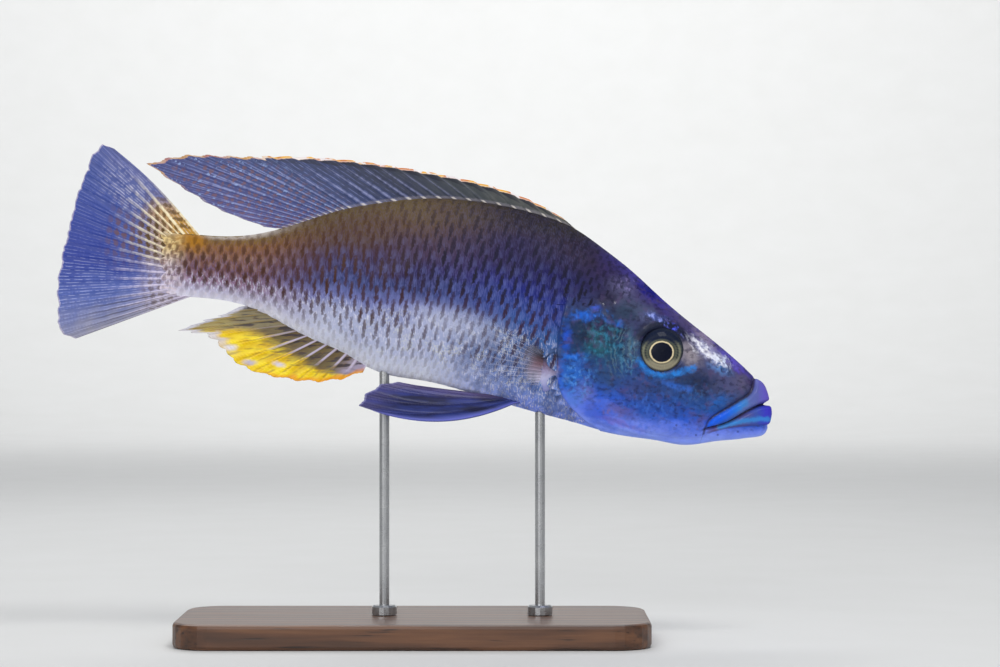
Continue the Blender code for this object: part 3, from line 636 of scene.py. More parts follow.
@dataclass
class BodyShape:
    """The smooth body, its fine relief and its surface by length and girth."""

    mid_line: float = 0.47
    cheek_rise: float = 0.4
    lift_fade: float = 2.5
    stalk_thinning: float = 0.75
    table_steps: int = 420
    girth_steps: int = 161
    arc_steps: int = 401

    def __post_init__(self) -> None:
        """Work out the body's curves and the table of its surface."""
        self.back, self.belly, self.width = (self.station_curve(STATIONS, k) for k in (1, 2, 3))
        self.top_rounding = self.station_curve(TOP_ROUNDING, 1)
        self.keel_rounding = self.station_curve(KEEL_ROUNDING, 1)
        self.make_table()

    def station_curve(self, rows: Line, column: int) -> Curve:
        """One column of a station table as a curve along the body."""
        places = [math.sqrt(max(SNOUT_TIP - row[0], 0.0)) for row in rows]
        curve = natural_curve(places, [row[column] for row in rows])
        return lambda x: curve(np.sqrt(np.maximum(SNOUT_TIP - x, 0.0)))

    def half_width(self, x: Array) -> Array:
        """Half the body's width at its fullest, drawn out thin over the tail's root."""
        thin = np.clip((STALK_END - x) / (STALK_END - SKIN_END), 0.0, 1.0)
        return self.width(np.maximum(x, STALK_END)) * (1.0 - self.stalk_thinning * thin)

    def share(self, x: Array, z: Array) -> Array:
        """How far down from the back a place is, from 0 to 1 at the belly."""
        return np.clip((self.back(x) - z) / (self.back(x) - self.belly(x)), 0.0, 1.0)

    def flank(self, x: Array, z: Array) -> Array:
        """Half width of the smooth body at places seen from the side.

        Args:
            x: distances along the body.
            z: heights.

        Returns:
            The distance from the middle plane to the flank.
        """
        share = self.share(x, z)
        rounding = self.top_rounding(x) + (self.keel_rounding(x) - self.top_rounding(x)) * share
        fullness = np.maximum(np.sin(np.pi * share ** FULLEST_AT), 0.0) ** rounding
        plain = self.half_width(x) * fullness
        return plain + self.cheek_rise * self.cheek_ridge(x, z) * np.minimum(plain / self.lift_fade, 1.0)

    def cheek_ridge(self, x: Array, z: Array) -> Array:
        """The soft swelling along the hind edge of the cheek."""
        return bump(line_distance(x, z, CHEEK_EDGE)[0], 2.6)

    def section(self, x: Array, angle: Array) -> Tuple[Array, Array, Array]:
        """Places round the body, from the back (0) down the left side to the belly.

        Args:
            x: distances along the body, as a column.
            angle: angles round the body, as a row.

        Returns:
            The places' three coordinates as grids.
        """
        height = self.back(x) - self.belly(x)
        z = self.back(x) - height * (1.0 - np.cos(angle)) / 2.0
        along = np.broadcast_to(x, z.shape)
        y = self.flank(along, z) * np.sign(np.sin(angle)) * (np.abs(np.sin(angle)) > 1e-6)
        return along, y, z

    def make_table(self) -> None:
        """Keep the left side's places and normals by length and distance from the mid line."""
        self.table_x = np.linspace(SNOUT_TIP - 0.05, SKIN_END - 2.0, self.table_steps)
        angle = np.linspace(0.0, np.pi, self.arc_steps)
        x, y, z = self.section(self.table_x[:, None], angle[None, :])
        steps = np.hypot(np.diff(y, axis=1), np.diff(z, axis=1))
        arc = np.concatenate((np.zeros((len(x), 1)), np.cumsum(steps, axis=1)), axis=1)
        half = self.girth_steps // 2
        levels = np.linspace(-1.0, 1.0, self.girth_steps)
        self.arc_up = np.zeros(self.table_steps)
        self.arc_down = np.zeros(self.table_steps)
        places = np.zeros((self.table_steps, self.girth_steps, 3))
        for i in range(self.table_steps):
            down = self.share(x[i], z[i])
            middle = np.interp(self.mid_line, down, arc[i])
            self.arc_up[i] = middle
            self.arc_down[i] = arc[i][-1] - middle
            reach = np.where(levels > 0.0, levels * self.arc_up[i], levels * self.arc_down[i])
            places[i, :, 0] = self.table_x[i]
            places[i, :, 1] = np.interp(middle - reach, arc[i], y[i])
            places[i, :, 2] = np.interp(middle - reach, arc[i], z[i])
        normals = np.cross(np.gradient(places, axis=0), np.gradient(places, axis=1))
        self.table_places = places
        self.table_normals = unit(normals) * np.sign(normals[:, half:half + 1, 1:2])

    def surface(self, x: Array, up: Array) -> Tuple[Array, Array]:
        """Places and normals on the left side of the smooth body.

        Args:
            x: distances along the body.
            up: distances above the mid line, measured over the skin.

        Returns:
            The places and the outward normals.
        """
        rising = self.table_x[::-1]
        reach_up = np.interp(x, rising, self.arc_up[::-1])
        reach_down = np.interp(x, rising, self.arc_down[::-1])
        level = np.clip(np.where(up > 0.0, up / reach_up, up / reach_down), -1.0, 1.0)
        row = (self.table_x[0] - x) / (self.table_x[0] - self.table_x[-1]) * (self.table_steps - 1)
        column = (level + 1.0) / 2.0 * (self.girth_steps - 1)
        i = np.clip(row.astype(int), 0, self.table_steps - 2)
        j = np.clip(column.astype(int), 0, self.girth_steps - 2)
        a = np.clip(row - i, 0.0, 1.0)[..., None]
        b = (column - j)[..., None]
        found = []
        for grid in (self.table_places, self.table_normals):
            near = grid[i, j] * (1.0 - b) + grid[i, j + 1] * b
            far = grid[i + 1, j] * (1.0 - b) + grid[i + 1, j + 1] * b
            found.append(near * (1.0 - a) + far * a)
        return found[0], unit(found[1])

    def marks(self, x: Array, z: Array) -> Marks:
        """Signed distances from the lines that the relief and the colours follow.

        Args:
            x: distances along the body.
            z: heights.

        Returns:
            One array for each mark, by name.
        """
        found = {"share": self.share(x, z), "eye": np.hypot(x - EYE_PLACE[0], z - EYE_PLACE[1])}
        for name, line, steps, sign in SIGNED_LINES:
            away, hand = line_distance(x, z, line, steps)
            found[name] = sign * away * hand
        for name, line in PLAIN_LINES:
            found[name] = line_distance(x, z, line)[0]
        pore = np.full(x.shape, np.inf)
        for pore_x, pore_z in PORES:
            pore = np.minimum(pore, np.hypot(x - pore_x, z - pore_z))
        found["pore"] = pore
        return found

    def relief(self, x: Array, z: Array, marks: Marks) -> Array:
        """How far the skin stands out of the smooth body or lies under it.

        Args:
            x: distances along the body.
            z: heights.
            marks: distances from the lines of the head.

        Returns:
            Heights in millimetres.
        """
        gill = marks["gill"]
        mouth = marks["mouth"]
        cheek = marks["cheek"]
        closed = smooth(x, 90.6, 94.5)
        above_gill = smooth(z, GILL_TOP + 3, GILL_TOP - 3)
        ahead = smooth(gill, -0.1, 0.45) * np.exp(-np.maximum(gill, 0.0) / 9.0)
        behind = smooth(gill, 0.05, -0.35) * np.exp(np.minimum(gill, 0.0) / 3.0)
        height = above_gill * (0.65 * ahead - 0.4 * behind)

        groove = marks["groove"]
        chin = marks["chin"]
        front = smooth(x, 96, 110)
        upper = smooth(groove, 0, 1.4) * smooth(mouth, 0, 1.4) * smooth(z, 85, 81)
        lower = smooth(chin, 0, 1.3) * smooth(-mouth, 0, 1.2)
        height += (0.35 + 0.35 * front) * upper * closed
        height += (0.35 + 0.45 * front) * lower * closed
        notch = 1.1 + 0.9 * smooth(x, 107, 112.5)
        height -= notch * bump(mouth, 0.42 + 0.35 * smooth(x, 107, 112.5)) * closed
        height -= 0.8 * bump(groove, 0.6) * smooth(z, 86, 82) * smooth(z, 68, 70.5)
        height -= 0.35 * bump(chin, 0.6) * smooth(x, 92, 96)

        height -= 0.28 * bump(cheek + 1.1, 0.8) * smooth(z, 70, 76)
        height += 0.16 * bump(cheek - 1, 1.2)
        for fold in THROAT_FOLDS:
            height -= 0.24 * bump(line_distance(x, z, fold)[0], 0.55)

        away = marks["eye"]
        height += 0.42 * bump(away - 7.75, 0.75)
        height -= 0.18 * bump(away - 9.6, 0.9) * smooth(x, 84, 74)
        height -= 2.6 * smooth(away, 6.85, 6.2)
        height -= 0.5 * bump(np.hypot((x - 90.5) / 1.6, z - 92), 4)

        nostril = np.hypot(x - NOSTRIL_PLACE[0], (z - NOSTRIL_PLACE[1]) * 0.85)
        height += 0.32 * bump(nostril - 1.25, 0.5)
        height -= 1.3 * bump(nostril, 0.62)
        height -= 0.34 * bump(marks["pore"], 0.42)

        wrinkled = bump(np.hypot((x - 67.3) / 2.6, (z - 94) / 7.5), 1)
        height += 0.13 * wrinkled * np.sin(z * 3.7 + 0.7 * np.sin(x * 1.1))
        height += 0.9 * bump(marks["fin_root"], 2.6) * smooth(gill, -0.2, -1.6)
        slow = np.sin(x * 0.31 + 1.3) * np.sin(z * 0.27) + 0.6 * np.sin(x * 0.13 - z * 0.41)
        height += 0.10 * slow
        muscle = bump(np.hypot((x - 66) / 2, z - 108), 6)
        height -= 0.45 * muscle
        return height


# Skin, scales and eyes.


HEAD_PATCHES = [Patch(*row) for row in (
    (98, 82.5, 9, 5.5, (76, 78, 120), 0.85, 30),
    (90.5, 82.4, 7.5, 4.4, (22, 38, 74), 0.90),
    (87.8, 91.8, 5, 4, (150, 142, 150), 0.90, 40),
    (94.4, 92.4, 8, 2.6, (170, 172, 212), 0.90, 40),
    (97.5, 87.2, 4.2, 1.6, (84, 136, 204), 0.70, 25),
    (102, 88.8, 6.5, 1.5, (92, 78, 190), 0.90, 43),
    (104.5, 82.5, 3.5, 2.5, (92, 88, 120), 0.80, 40),
    (66, 111.5, 6.5, 4.8, (84, 84, 120), 0.90, 35),
    (61.5, 109.5, 5, 3.2, (38, 36, 56), 0.85),
    (73.5, 104.5, 6.5, 3.2, (76, 84, 116), 0.85, 35),
    (67, 105.3, 6, 3.4, (38, 58, 82), 0.85),
    (75.3, 111.2, 5.6, 2.2, (10, 14, 118), 1, 42),
    (86, 101.8, 6.5, 2.4, (72, 64, 108), 0.90, 42),
    (92.6, 97.2, 5.6, 1.8, (140, 126, 154), 0.90, 42),
    (77.5, 103, 4.6, 1.5, (78, 96, 180), 0.80, 15),
    (56.5, 97.5, 10, 8.5, (8, 34, 62), 0.95),
    (63.5, 92.5, 6.5, 7.5, (22, 66, 96), 0.85),
    (58.5, 94, 4.4, 3.6, (24, 92, 106), 0.75),
    (54, 92, 3.4, 2.2, (20, 76, 116), 0.75),
    (57.6, 98.4, 3, 1.6, (40, 108, 116), 0.65),
    (64.6, 98.6, 3.4, 3, (14, 34, 48), 0.75),
    (53.4, 103.6, 5.2, 1.5, (24, 94, 200), 0.95, -6),
    (57.6, 106.6, 1.8, 1.2, (54, 92, 210), 0.90),
    (65.4, 101, 1.9, 1.4, (26, 104, 200), 0.90),
    (61.6, 102.4, 2.4, 1.3, (24, 84, 168), 0.75, 20),
    (48.4, 97, 1.8, 4.4, (24, 82, 204), 0.90),
    (50.8, 90.4, 4.4, 1.5, (26, 106, 220), 0.90),
    (50.6, 83.8, 5.2, 6.5, (36, 104, 200), 0.90),
    (54.6, 79.6, 3.2, 4, (112, 118, 188), 0.75, -20),
    (61.5, 84.5, 6.5, 5.5, (38, 68, 116), 0.85),
    (70.5, 80.5, 6.5, 4.4, (52, 62, 116), 0.80),
    (77, 79, 6.5, 3.2, (40, 60, 112), 0.75),
    (75.5, 74.5, 9, 4, (32, 72, 156), 0.80),
    (66, 73.8, 5.5, 2.4, (100, 92, 160), 0.75, 20),
    (91.5, 70.5, 3.4, 2, (84, 74, 130), 0.70, -20),
    (84, 73.5, 5, 2.8, (30, 68, 156), 0.75),
    (96.5, 76.2, 5, 2, (26, 92, 176), 0.85, -24),
    (69, 94.6, 2.2, 5.6, (62, 88, 116), 0.85),
    (58.5, 72.4, 8, 3, (58, 98, 222), 0.90, 28),
    (51, 77, 3.4, 3.4, (86, 126, 222), 0.80),
    (66, 69.6, 8, 1.2, (128, 116, 214), 0.60, 18),
    # The last three rows are painted highlights: white wet streaks along the snout ridge.
    (91.8, 93.9, 5.6, 0.7, (244, 244, 252), 1, 44),
    (96.9, 89.6, 4, 0.6, (232, 236, 250), 1, 46),
    (89, 93.2, 2.4, 0.5, (216, 214, 226), 0.9, 40),
)]
FLECK_AND_GLINT_PATCHES = [Patch(*row) for row in (
    # Rows one, two, three and five are painted highlights: the wet white streaks of the snout ridge and
    # lilac glints above the eye and on the nape; the others are pigment flecks.
    (93.7, 92.6, 8.5, 2, (236, 238, 250), 1, 36),
    (99, 88.6, 4, 1.8, (206, 220, 246), 0.9, 36),
    (76.6, 103, 5.5, 1.6, (150, 164, 236), 1, 15),
    (82.4, 100, 4.6, 0.9, (80, 92, 232), 1, 36),
    (66.8, 113.4, 3.6, 2.6, (140, 130, 190), 0.8, 30),
    (56, 104, 6.5, 2, (44, 116, 226), 0.9),
    (60.5, 95.5, 7.5, 7.5, (50, 132, 168), 0.7),
    (68, 90, 3.6, 6, (84, 150, 190), 0.7),
    (52, 84, 6, 7, (84, 150, 232), 0.8),
    (73, 75, 14, 5.5, (54, 106, 208), 0.65),
    (90, 79, 8, 4, (50, 96, 160), 0.6),
    (78, 68.4, 20, 2.4, (88, 122, 236), 0.8),
    (62.6, 73.4, 4, 1.8, (128, 104, 164), 0.8, 12),
    (89, 67.4, 3.2, 1.3, (98, 84, 140), 0.8, -20),
)]
FOLD_PATCH = Patch(66, 92.4, 5, 8, (112, 146, 156), 0.42, 8)


@dataclass(frozen=True)
class FishColours:
    """The pigments of the fish and how they lie on it, for skin and scales alike, with a painted shadow
    over the eye.
    """

    # shade is the colour of the painted shadow that the brow casts over the eye.
    shade: Screen = (14, 24, 44)
    dark: Screen = (20, 18, 48)
    plum: Screen = (84, 66, 110)

    def flank(self, paint: Paint) -> Value:
        """The colour of the trunk and the tail stalk by length and height.

        Args:
            paint: the material.

        Returns:
            The colour.
        """
        x, _, _ = paint.axes()
        drift = (paint.noise(9, (0.7, 1, 1.3)) - 0.5) * 0.20
        level = paint.read("share") + drift
        front = paint.ramp(
            level, (0, 38, 32, 28), (0.14, 36, 22, 50), (0.28, 24, 18, 74), (0.40, 22, 32, 116),
            (0.52, 40, 62, 134), (0.64, 46, 92, 156), (0.76, 66, 106, 172), (0.90, 112, 138, 212),
            (1, 126, 150, 246),
        )
        middle = paint.ramp(
            level, (0, 98, 82, 50), (0.16, 84, 62, 46), (0.30, 62, 42, 66), (0.40, 44, 30, 74),
            (0.50, 46, 54, 104), (0.60, 104, 110, 166), (0.70, 166, 172, 206), (0.84, 188, 194, 222),
            (1, 236, 240, 252),
        )
        rear = paint.ramp(
            level, (0, 114, 94, 50), (0.18, 126, 84, 40), (0.36, 116, 76, 56), (0.54, 106, 70, 70),
            (0.72, 146, 116, 146), (0.86, 188, 180, 208), (1, 240, 238, 252),
        )
        colour = paint.mix(x.step(-4, 38), middle, front)
        return paint.mix(x.step(-22, -58), colour, rear)

    def head(self, paint: Paint) -> Value:
        """The colour of the head, cheeks and gill covers, with painted highlights on the snout, brow and
        nape and a painted shadow over the eye.

        Args:
            paint: the material.

        Returns:
            The colour.
        """
        share = paint.read("share")
        blotch = paint.noise(4, detail=4)
        coat = Coat(paint, paint.ramp(
            share + (blotch - 0.5) * 0.16, (0, 66, 58, 150), (0.12, 52, 44, 96), (0.30, 54, 58, 96),
            (0.50, 36, 60, 108), (0.68, 32, 74, 148), (0.82, 46, 92, 210), (0.92, 118, 142, 250),
            (1, 140, 164, 255),
        ))
        place = paint.warped(2.6, 5)
        coat.lay_patches(HEAD_PATCHES, place)
        _, _, z = paint.axes()
        # Painted shade: the brow's shadow over the eye, laid in the shade colour.
        coat.lay(self.brow_shadow(paint, z) * 0.9, self.shade)
        busy = share.step(1.02, 0.74)
        dark = paint.noise(1.5, (0.8, 1, 1.2), 4).step(0.54, 0.30)
        coat.lay(dark * busy * 0.6, self.dark)
        # Ragged mask for the pigment flecks and for the painted highlights of the snout, brow and nape.
        fleck_and_glint = paint.noise(1.5, (1.2, 1, 0.9), 5).step(0.46, 0.68)
        coat.lay_patches(FLECK_AND_GLINT_PATCHES, place, fleck_and_glint)
        bent = paint.read("eye") * 4.4 + blotch * 22 + dark * 1.5
        folds = bent.wave().step(-0.3, 1) * blotch.step(0.36, 0.56)
        coat.lay_patches([FOLD_PATCH], place, folds)
        plum = paint.noise(2.4).step(0.52, 0.70)
        coat.lay(plum * busy * 0.35, self.plum)
        return coat.colour

    def brow_shadow(self, paint: Paint, z: Value) -> Value:
        """How much of the painted shadow that the brow casts over the eye lies at a place."""
        away = paint.read("eye") + (paint.noise(2) - 0.5) * 3
        return away.step(11.4, 8) * z.step(94, 98)

    def whole(self, paint: Paint) -> Value:
        """Head and flank colours, which meet at the gill edge and over the nape.

        Args:
            paint: the material.

        Returns:
            The colour.
        """
        _, _, z = paint.axes()
        gill = paint.read("gill")
        low = gill.step(-0.6, 0.6)
        high = gill.step(-6, 22)
        share = z.step(104, 114)
        ahead = low * (1 - share) + high * share
        return paint.mix(ahead, self.flank(paint), self.head(paint))


@dataclass(frozen=True)
class WetSkin:
    """The finish of the skin: mottled colours, azure stripes, lips, fine pits and painted shade in the lip
    groove, the mouth's cleft and under the gill cover's edge.
    """

    colours: FishColours

    def make(self) -> Material:
        """Colour the skin, its stripes, lips and pits, and paint shade into the lip groove, the mouth's
        cleft and behind the gill cover's edge.

        Returns:
            The material.
        """
        paint = Paint("wet_skin", IOR=1.36, Specular_IOR_Level=0.3, Coat_Roughness=0.10, Coat_IOR=1.36)
        x, _, z = paint.axes()
        coat = Coat(paint, self.colours.whole(paint))
        fine = paint.noise(0.9, detail=4)
        broken = paint.noise(2.2).step(0.36, 0.60)
        mouth = paint.read("mouth")
        for name, width, strength, dye in (
            ("eye_stripe", 1.7, 0.95, (34, 128, 220)),
            ("cheek_stripe", 1.7, 0.75, (48, 104, 204)),
        ):
            stripe = (paint.read(name) + (fine - 0.5) * 2.2).step(width, 0)
            coat.lay(stripe * strength * (0.45 + 0.55 * broken), dye)
        closed = x.step(92, 96)
        above = paint.read("groove").step(0.2, 0.7) * mouth.step(-0.2, 0.2)
        below = paint.read("chin").step(0, 0.6) * mouth.step(0.2, -0.2)
        lips = (above + below) * closed
        ahead = (x + (fine - 0.5) * 3).step(96, 114)
        upper = paint.ramp(
            ahead, (0, 30, 84, 190), (0.50, 90, 114, 178),
            (0.84, 92, 100, 176), (1, 108, 90, 206),
        )
        lower = paint.ramp(
            ahead, (0, 88, 70, 122), (0.50, 84, 78, 136),
            (0.84, 60, 84, 178), (1, 60, 48, 206),
        )
        lip = paint.mix(mouth.step(-0.1, 0.1), lower, upper)
        coat.lay(lips * 0.85, lip)
        stripe = (paint.read("jaw_stripe") + (fine - 0.5) * 1.2).step(1.7, 0.4)
        azure = paint.mix(x.step(98, 107), (20, 94, 232), (44, 132, 204))
        coat.lay(stripe * x.step(109.5, 103) * 0.95, azure)
        stripe = (paint.read("chin_stripe") + (fine - 0.5) * 1.2).step(1.3, 0.1)
        coat.lay(stripe * 0.8, (50, 140, 220))
        # Painted shade: the lip groove is darkened where shade falls in it.
        groove = paint.read("groove").band(0, 0.7) * z.step(88, 84)
        coat.lay(groove * 0.8, (40, 36, 62))
        # Painted shade: the mouth's cleft is darkened.
        line = mouth.band(0, 0.6) * x.step(90.6, 94)
        coat.lay(line * 0.9, (36, 24, 46))
        # Painted shade: the skin just behind the gill cover's edge is darkened, as under the overhanging
        # cover.
        edge = paint.read("gill").band(-0.9, 1.5) * z.step(76, 84)
        coat.lay(edge * 0.7, (40, 46, 90))
        pore = paint.read("pore").step(0.55, 0.2)
        coat.lay(pore * 0.5, (22, 26, 58))
        base = (paint.read("fin_root") + (fine - 0.5) * 1.5).step(4.4, 2)
        shoulder = paint.ramp(
            (z + (fine - 0.5) * 3).step(79, 95), (0, 150, 152, 214), (0.22, 196, 194, 226),
            (0.42, 160, 148, 182), (0.60, 118, 92, 112), (0.80, 36, 40, 66), (1, 78, 104, 156),
        )
        coat.lay(base * 0.9, shoulder)
        grain = fine * 0.7 + paint.noise(0.35, detail=2) * 0.3
        wet = paint.noise(1.6, (1, 1, 1.3), 4).step(0.46, 0.62)
        return paint.finish(
            Base_Color=coat.colour,
            Roughness=0.44 + fine * 0.2,
            # The wet coat is kept off the painted shadow over the eye.
            Coat_Weight=(0.06 + wet * 0.6) * (1 - self.colours.brow_shadow(paint, z)),
            Normal=paint.relief(grain, 0.06, 0.7),
        )


@dataclass
class Skin:
    """One smooth skin over head, trunk and tail stalk, with the head's fine shapes."""

    shape: BodyShape
    colours: FishColours
    sides: int = 244
    coat_depth: float = 0.5
    nose_step: float = 0.05
    head_step: float = 0.3
    head_end: float = 44.0
    growth: float = 1.02
    longest_step: float = 1.1
    keel_fade: float = 0.8
    coat_fade: float = 1.5
    lip_fade: float = 2.4

    def ring_places(self) -> Array:
        """Distances along the body at which the skin's rings stand.

        Returns:
            Places from just behind the snout's tip to the tail's root.
        """
        places = []
        root = self.nose_step
        step = self.head_step
        x = SNOUT_TIP - root ** 2
        while x > SKIN_END:
            places.append(x)
            if 2.0 * root * self.nose_step < self.head_step:
                root += self.nose_step
                x = SNOUT_TIP - root ** 2
            else:
                step = step if x > self.head_end else min(step * self.growth, self.longest_step)
                x -= step
        return np.array(places)

    def build(self) -> Object:
        """Make the skin.

        Returns:
            The dressed skin.
        """
        rings = self.ring_places()
        angle = 2.0 * np.pi * np.arange(self.sides) / self.sides
        x, y, z = self.shape.section(rings[:, None], angle[None, :])
        places = np.stack((x, y, z), axis=2)
        turned = np.roll(places, -1, axis=1) - np.roll(places, 1, axis=1)
        normals = unit(np.cross(turned, np.gradient(places, axis=0)))
        marks = self.shape.marks(x, z)
        height = self.shape.relief(x, z, marks)
        scaled = np.maximum(
            smooth(marks["gill"], 0.2, -1.2),
            smooth(z, 105, 111) * smooth(x, 84, 76),
        )
        keel = np.maximum(np.minimum(np.abs(y) / self.keel_fade, 1.0), smooth(x, 105, 108))
        sunk = self.coat_depth * scaled * np.minimum(np.abs(y) / self.coat_fade, 1.0)
        lips = 0.15 + 0.85 * np.minimum(np.abs(y) / self.lip_fade, 1.0)
        height = height * keel * np.where((height > 0.0) & (x > 106.0), lips, 1.0)
        lifted = places + normals * ((height - sunk)[..., None])
        points = np.concatenate((lifted.reshape(-1, 3), [[SNOUT_TIP + 0.3, 0.0, 73.1]]))
        tip = len(points) - 1
        around = np.arange(self.sides)
        nose = np.stack((around, np.full(self.sides, tip), (around + 1) % self.sides), axis=1)
        last = (len(rings) - 1) * self.sides
        faces = [grid_faces(len(rings), self.sides, looped=True), nose, (last + around)[None, :]]
        values = {key: np.append(value.ravel(), value[0, 0]) for key, value in marks.items()}
        item = make_piece("fish_skin", points, faces, values)
        nodes = (
            "head", "upper_jaw", "lower_jaw", "gill_cover_left", "gill_cover_right", "trunk", "tail_stalk"
        )
        settle(item, WetSkin(self.colours).make(), "head_skin", *nodes)
        return item


class ScaleZone(Enum):
    """A patch of scales: pitch along, pitch across, tilt, first and last place along."""

    FLANK = (4.25, 4.6, 0.065, 64.0, -76.0)
    BELLY = (3.6, 2.9, 0.045, 64.0, -64.0)
    NAPE = (2.9, 2.5, 0.028, 84.0, 46.0)
    COVER = (3.0, 2.5, 0.035, 74.0, 46.0)
    TAIL_ROOT = (2.4, 1.9, 0.05, -74.5, -79.6)


@dataclass(frozen=True)
class ScaleHorn:
    """The finish of the scales: horn with a dark bar at its middle, fine growth rings and painted glints.
    """

    colours: FishColours

    def make(self) -> Material:
        """Colour the scales by their place on the fish and on themselves.

        Returns:
            The material.
        """
        paint = Paint("scales", IOR=1.38, Specular_IOR_Level=0.28, Coat_Roughness=0.18, Coat_IOR=1.36)
        u, v, out, chance = paint.reads("scale_u", "scale_v", "scale_out", "chance")
        share, gill = paint.reads("share", "gill")
        x, _, _ = paint.axes()
        coat = Coat(paint, self.colours.whole(paint))
        fine = paint.noise(0.5)
        flank = gill.step(4, -2)
        streak = paint.noise(0.8, (2.4, 1, 0.5), 2)
        light = paint.mix(0.40, coat.colour, (124, 130, 202))
        shown = flank * (0.20 + 0.40 * share.step(0.25, 0.55))
        coat.lay(streak.step(0.42, 0.64) * shown, light)
        under = share.step(0.56, 0.70) * flank
        # Painted highlight: white glints streaked over the lower flank.
        coat.lay(streak.step(0.50, 0.66) * under * 0.7, (226, 226, 242))
        dusk = paint.noise(6, (1, 1, 1.4), 4)
        dim = dusk.step(0.56, 0.42) * under * x.step(6, 22)
        coat.lay(dim * 0.55, (76, 94, 140))
        cream = dusk.step(0.50, 0.62) * x.step(-30, 0) * fine.step(0.48, 0.60)
        cream = cream * share.step(0.96, 0.84)
        coat.lay(cream * under * 0.6, (222, 222, 208))
        silver = x.band(13, 24) * share.band(0.66, 0.13)
        coat.lay(silver * 0.6, (200, 204, 228))
        stalk = x.step(-30, -52)
        top = (share + (fine - 0.5) * 0.06).step(0.08, 0.01) * stalk
        coat.lay(top * 0.5, (206, 198, 196))
        gold = x.step(-64, -69.5) * x.step(-79, -74)
        gold = gold * (share + (dusk - 0.5) * 0.6).step(0.34, 0.06)
        coat.lay(gold * 0.9, (164, 110, 4))
        root = x.step(-71.5, -77.5)
        pale = paint.mix(share.step(0.2, 0.6), (226, 198, 138), (210, 196, 208))
        patchy = 0.35 + 0.6 * paint.noise(1.4, (0.5, 1, 1.5)).step(0.42, 0.60)
        coat.lay(root * patchy, pale)
        slant = 0.08 + 0.28 * x.step(-30, 40)
        ragged = paint.noise(0.8, (1.6, 1, 0.7)) - 0.5
        lean_u = u - 0.47 + v * slant + ragged * 0.55 + (chance - 0.5) * 0.16
        # Painted highlight: a pale glint streak on each scale's front, in a cool tint on the flank and a
        # warm one on the stalk.
        glint = lean_u.band(-0.40, 0.34) * v.band(0, 0.62) * flank
        shine = paint.mix(stalk, (130, 148, 212), (206, 180, 160))
        coat.lay(glint * share.step(0.1, 0.4) * 0.13, shine)
        lean_u = lean_u / (0.19 + stalk * 0.08)
        lean_v = (v + ragged * 0.7) / (0.95 - stalk * 0.25)
        bar = (lean_u * lean_u + lean_v * lean_v).step(1.6, 0.1)
        low = share.step(0.96, 0.64) * share.step(0.02, 0.34)
        strength = (0.45 - 0.25 * share.step(0.78, 0.95) + 0.52 * low) * (0.72 + 0.28 * chance)
        strength = strength * (1 - 0.3 * root) * (1 - 0.5 * silver)
        dark = paint.mix(share.step(0.42, 0.6), (10, 8, 32), (52, 18, 36))
        dark = paint.mix(x.step(-24, 14), (62, 30, 8), dark)
        coat.lay(bar * strength, dark)
        middle = out.step(0.25, 0.55)
        circuli = (out * 56).wave() * middle
        rays = (v / (u + 1.6) * 46).wave() * middle
        height = circuli * 0.35 + rays * 0.35 + fine
        return paint.finish(
            Base_Color=coat.colour,
            Roughness=0.44 + fine * 0.14 + bar * 0.10,
            Metallic=0.15 * share.step(0.45, 0.8),
            Coat_Weight=(0.04 + chance * 0.20) * share.step(0.1, 0.6),
            Normal=paint.relief(height, 0.02, 0.5),
        )


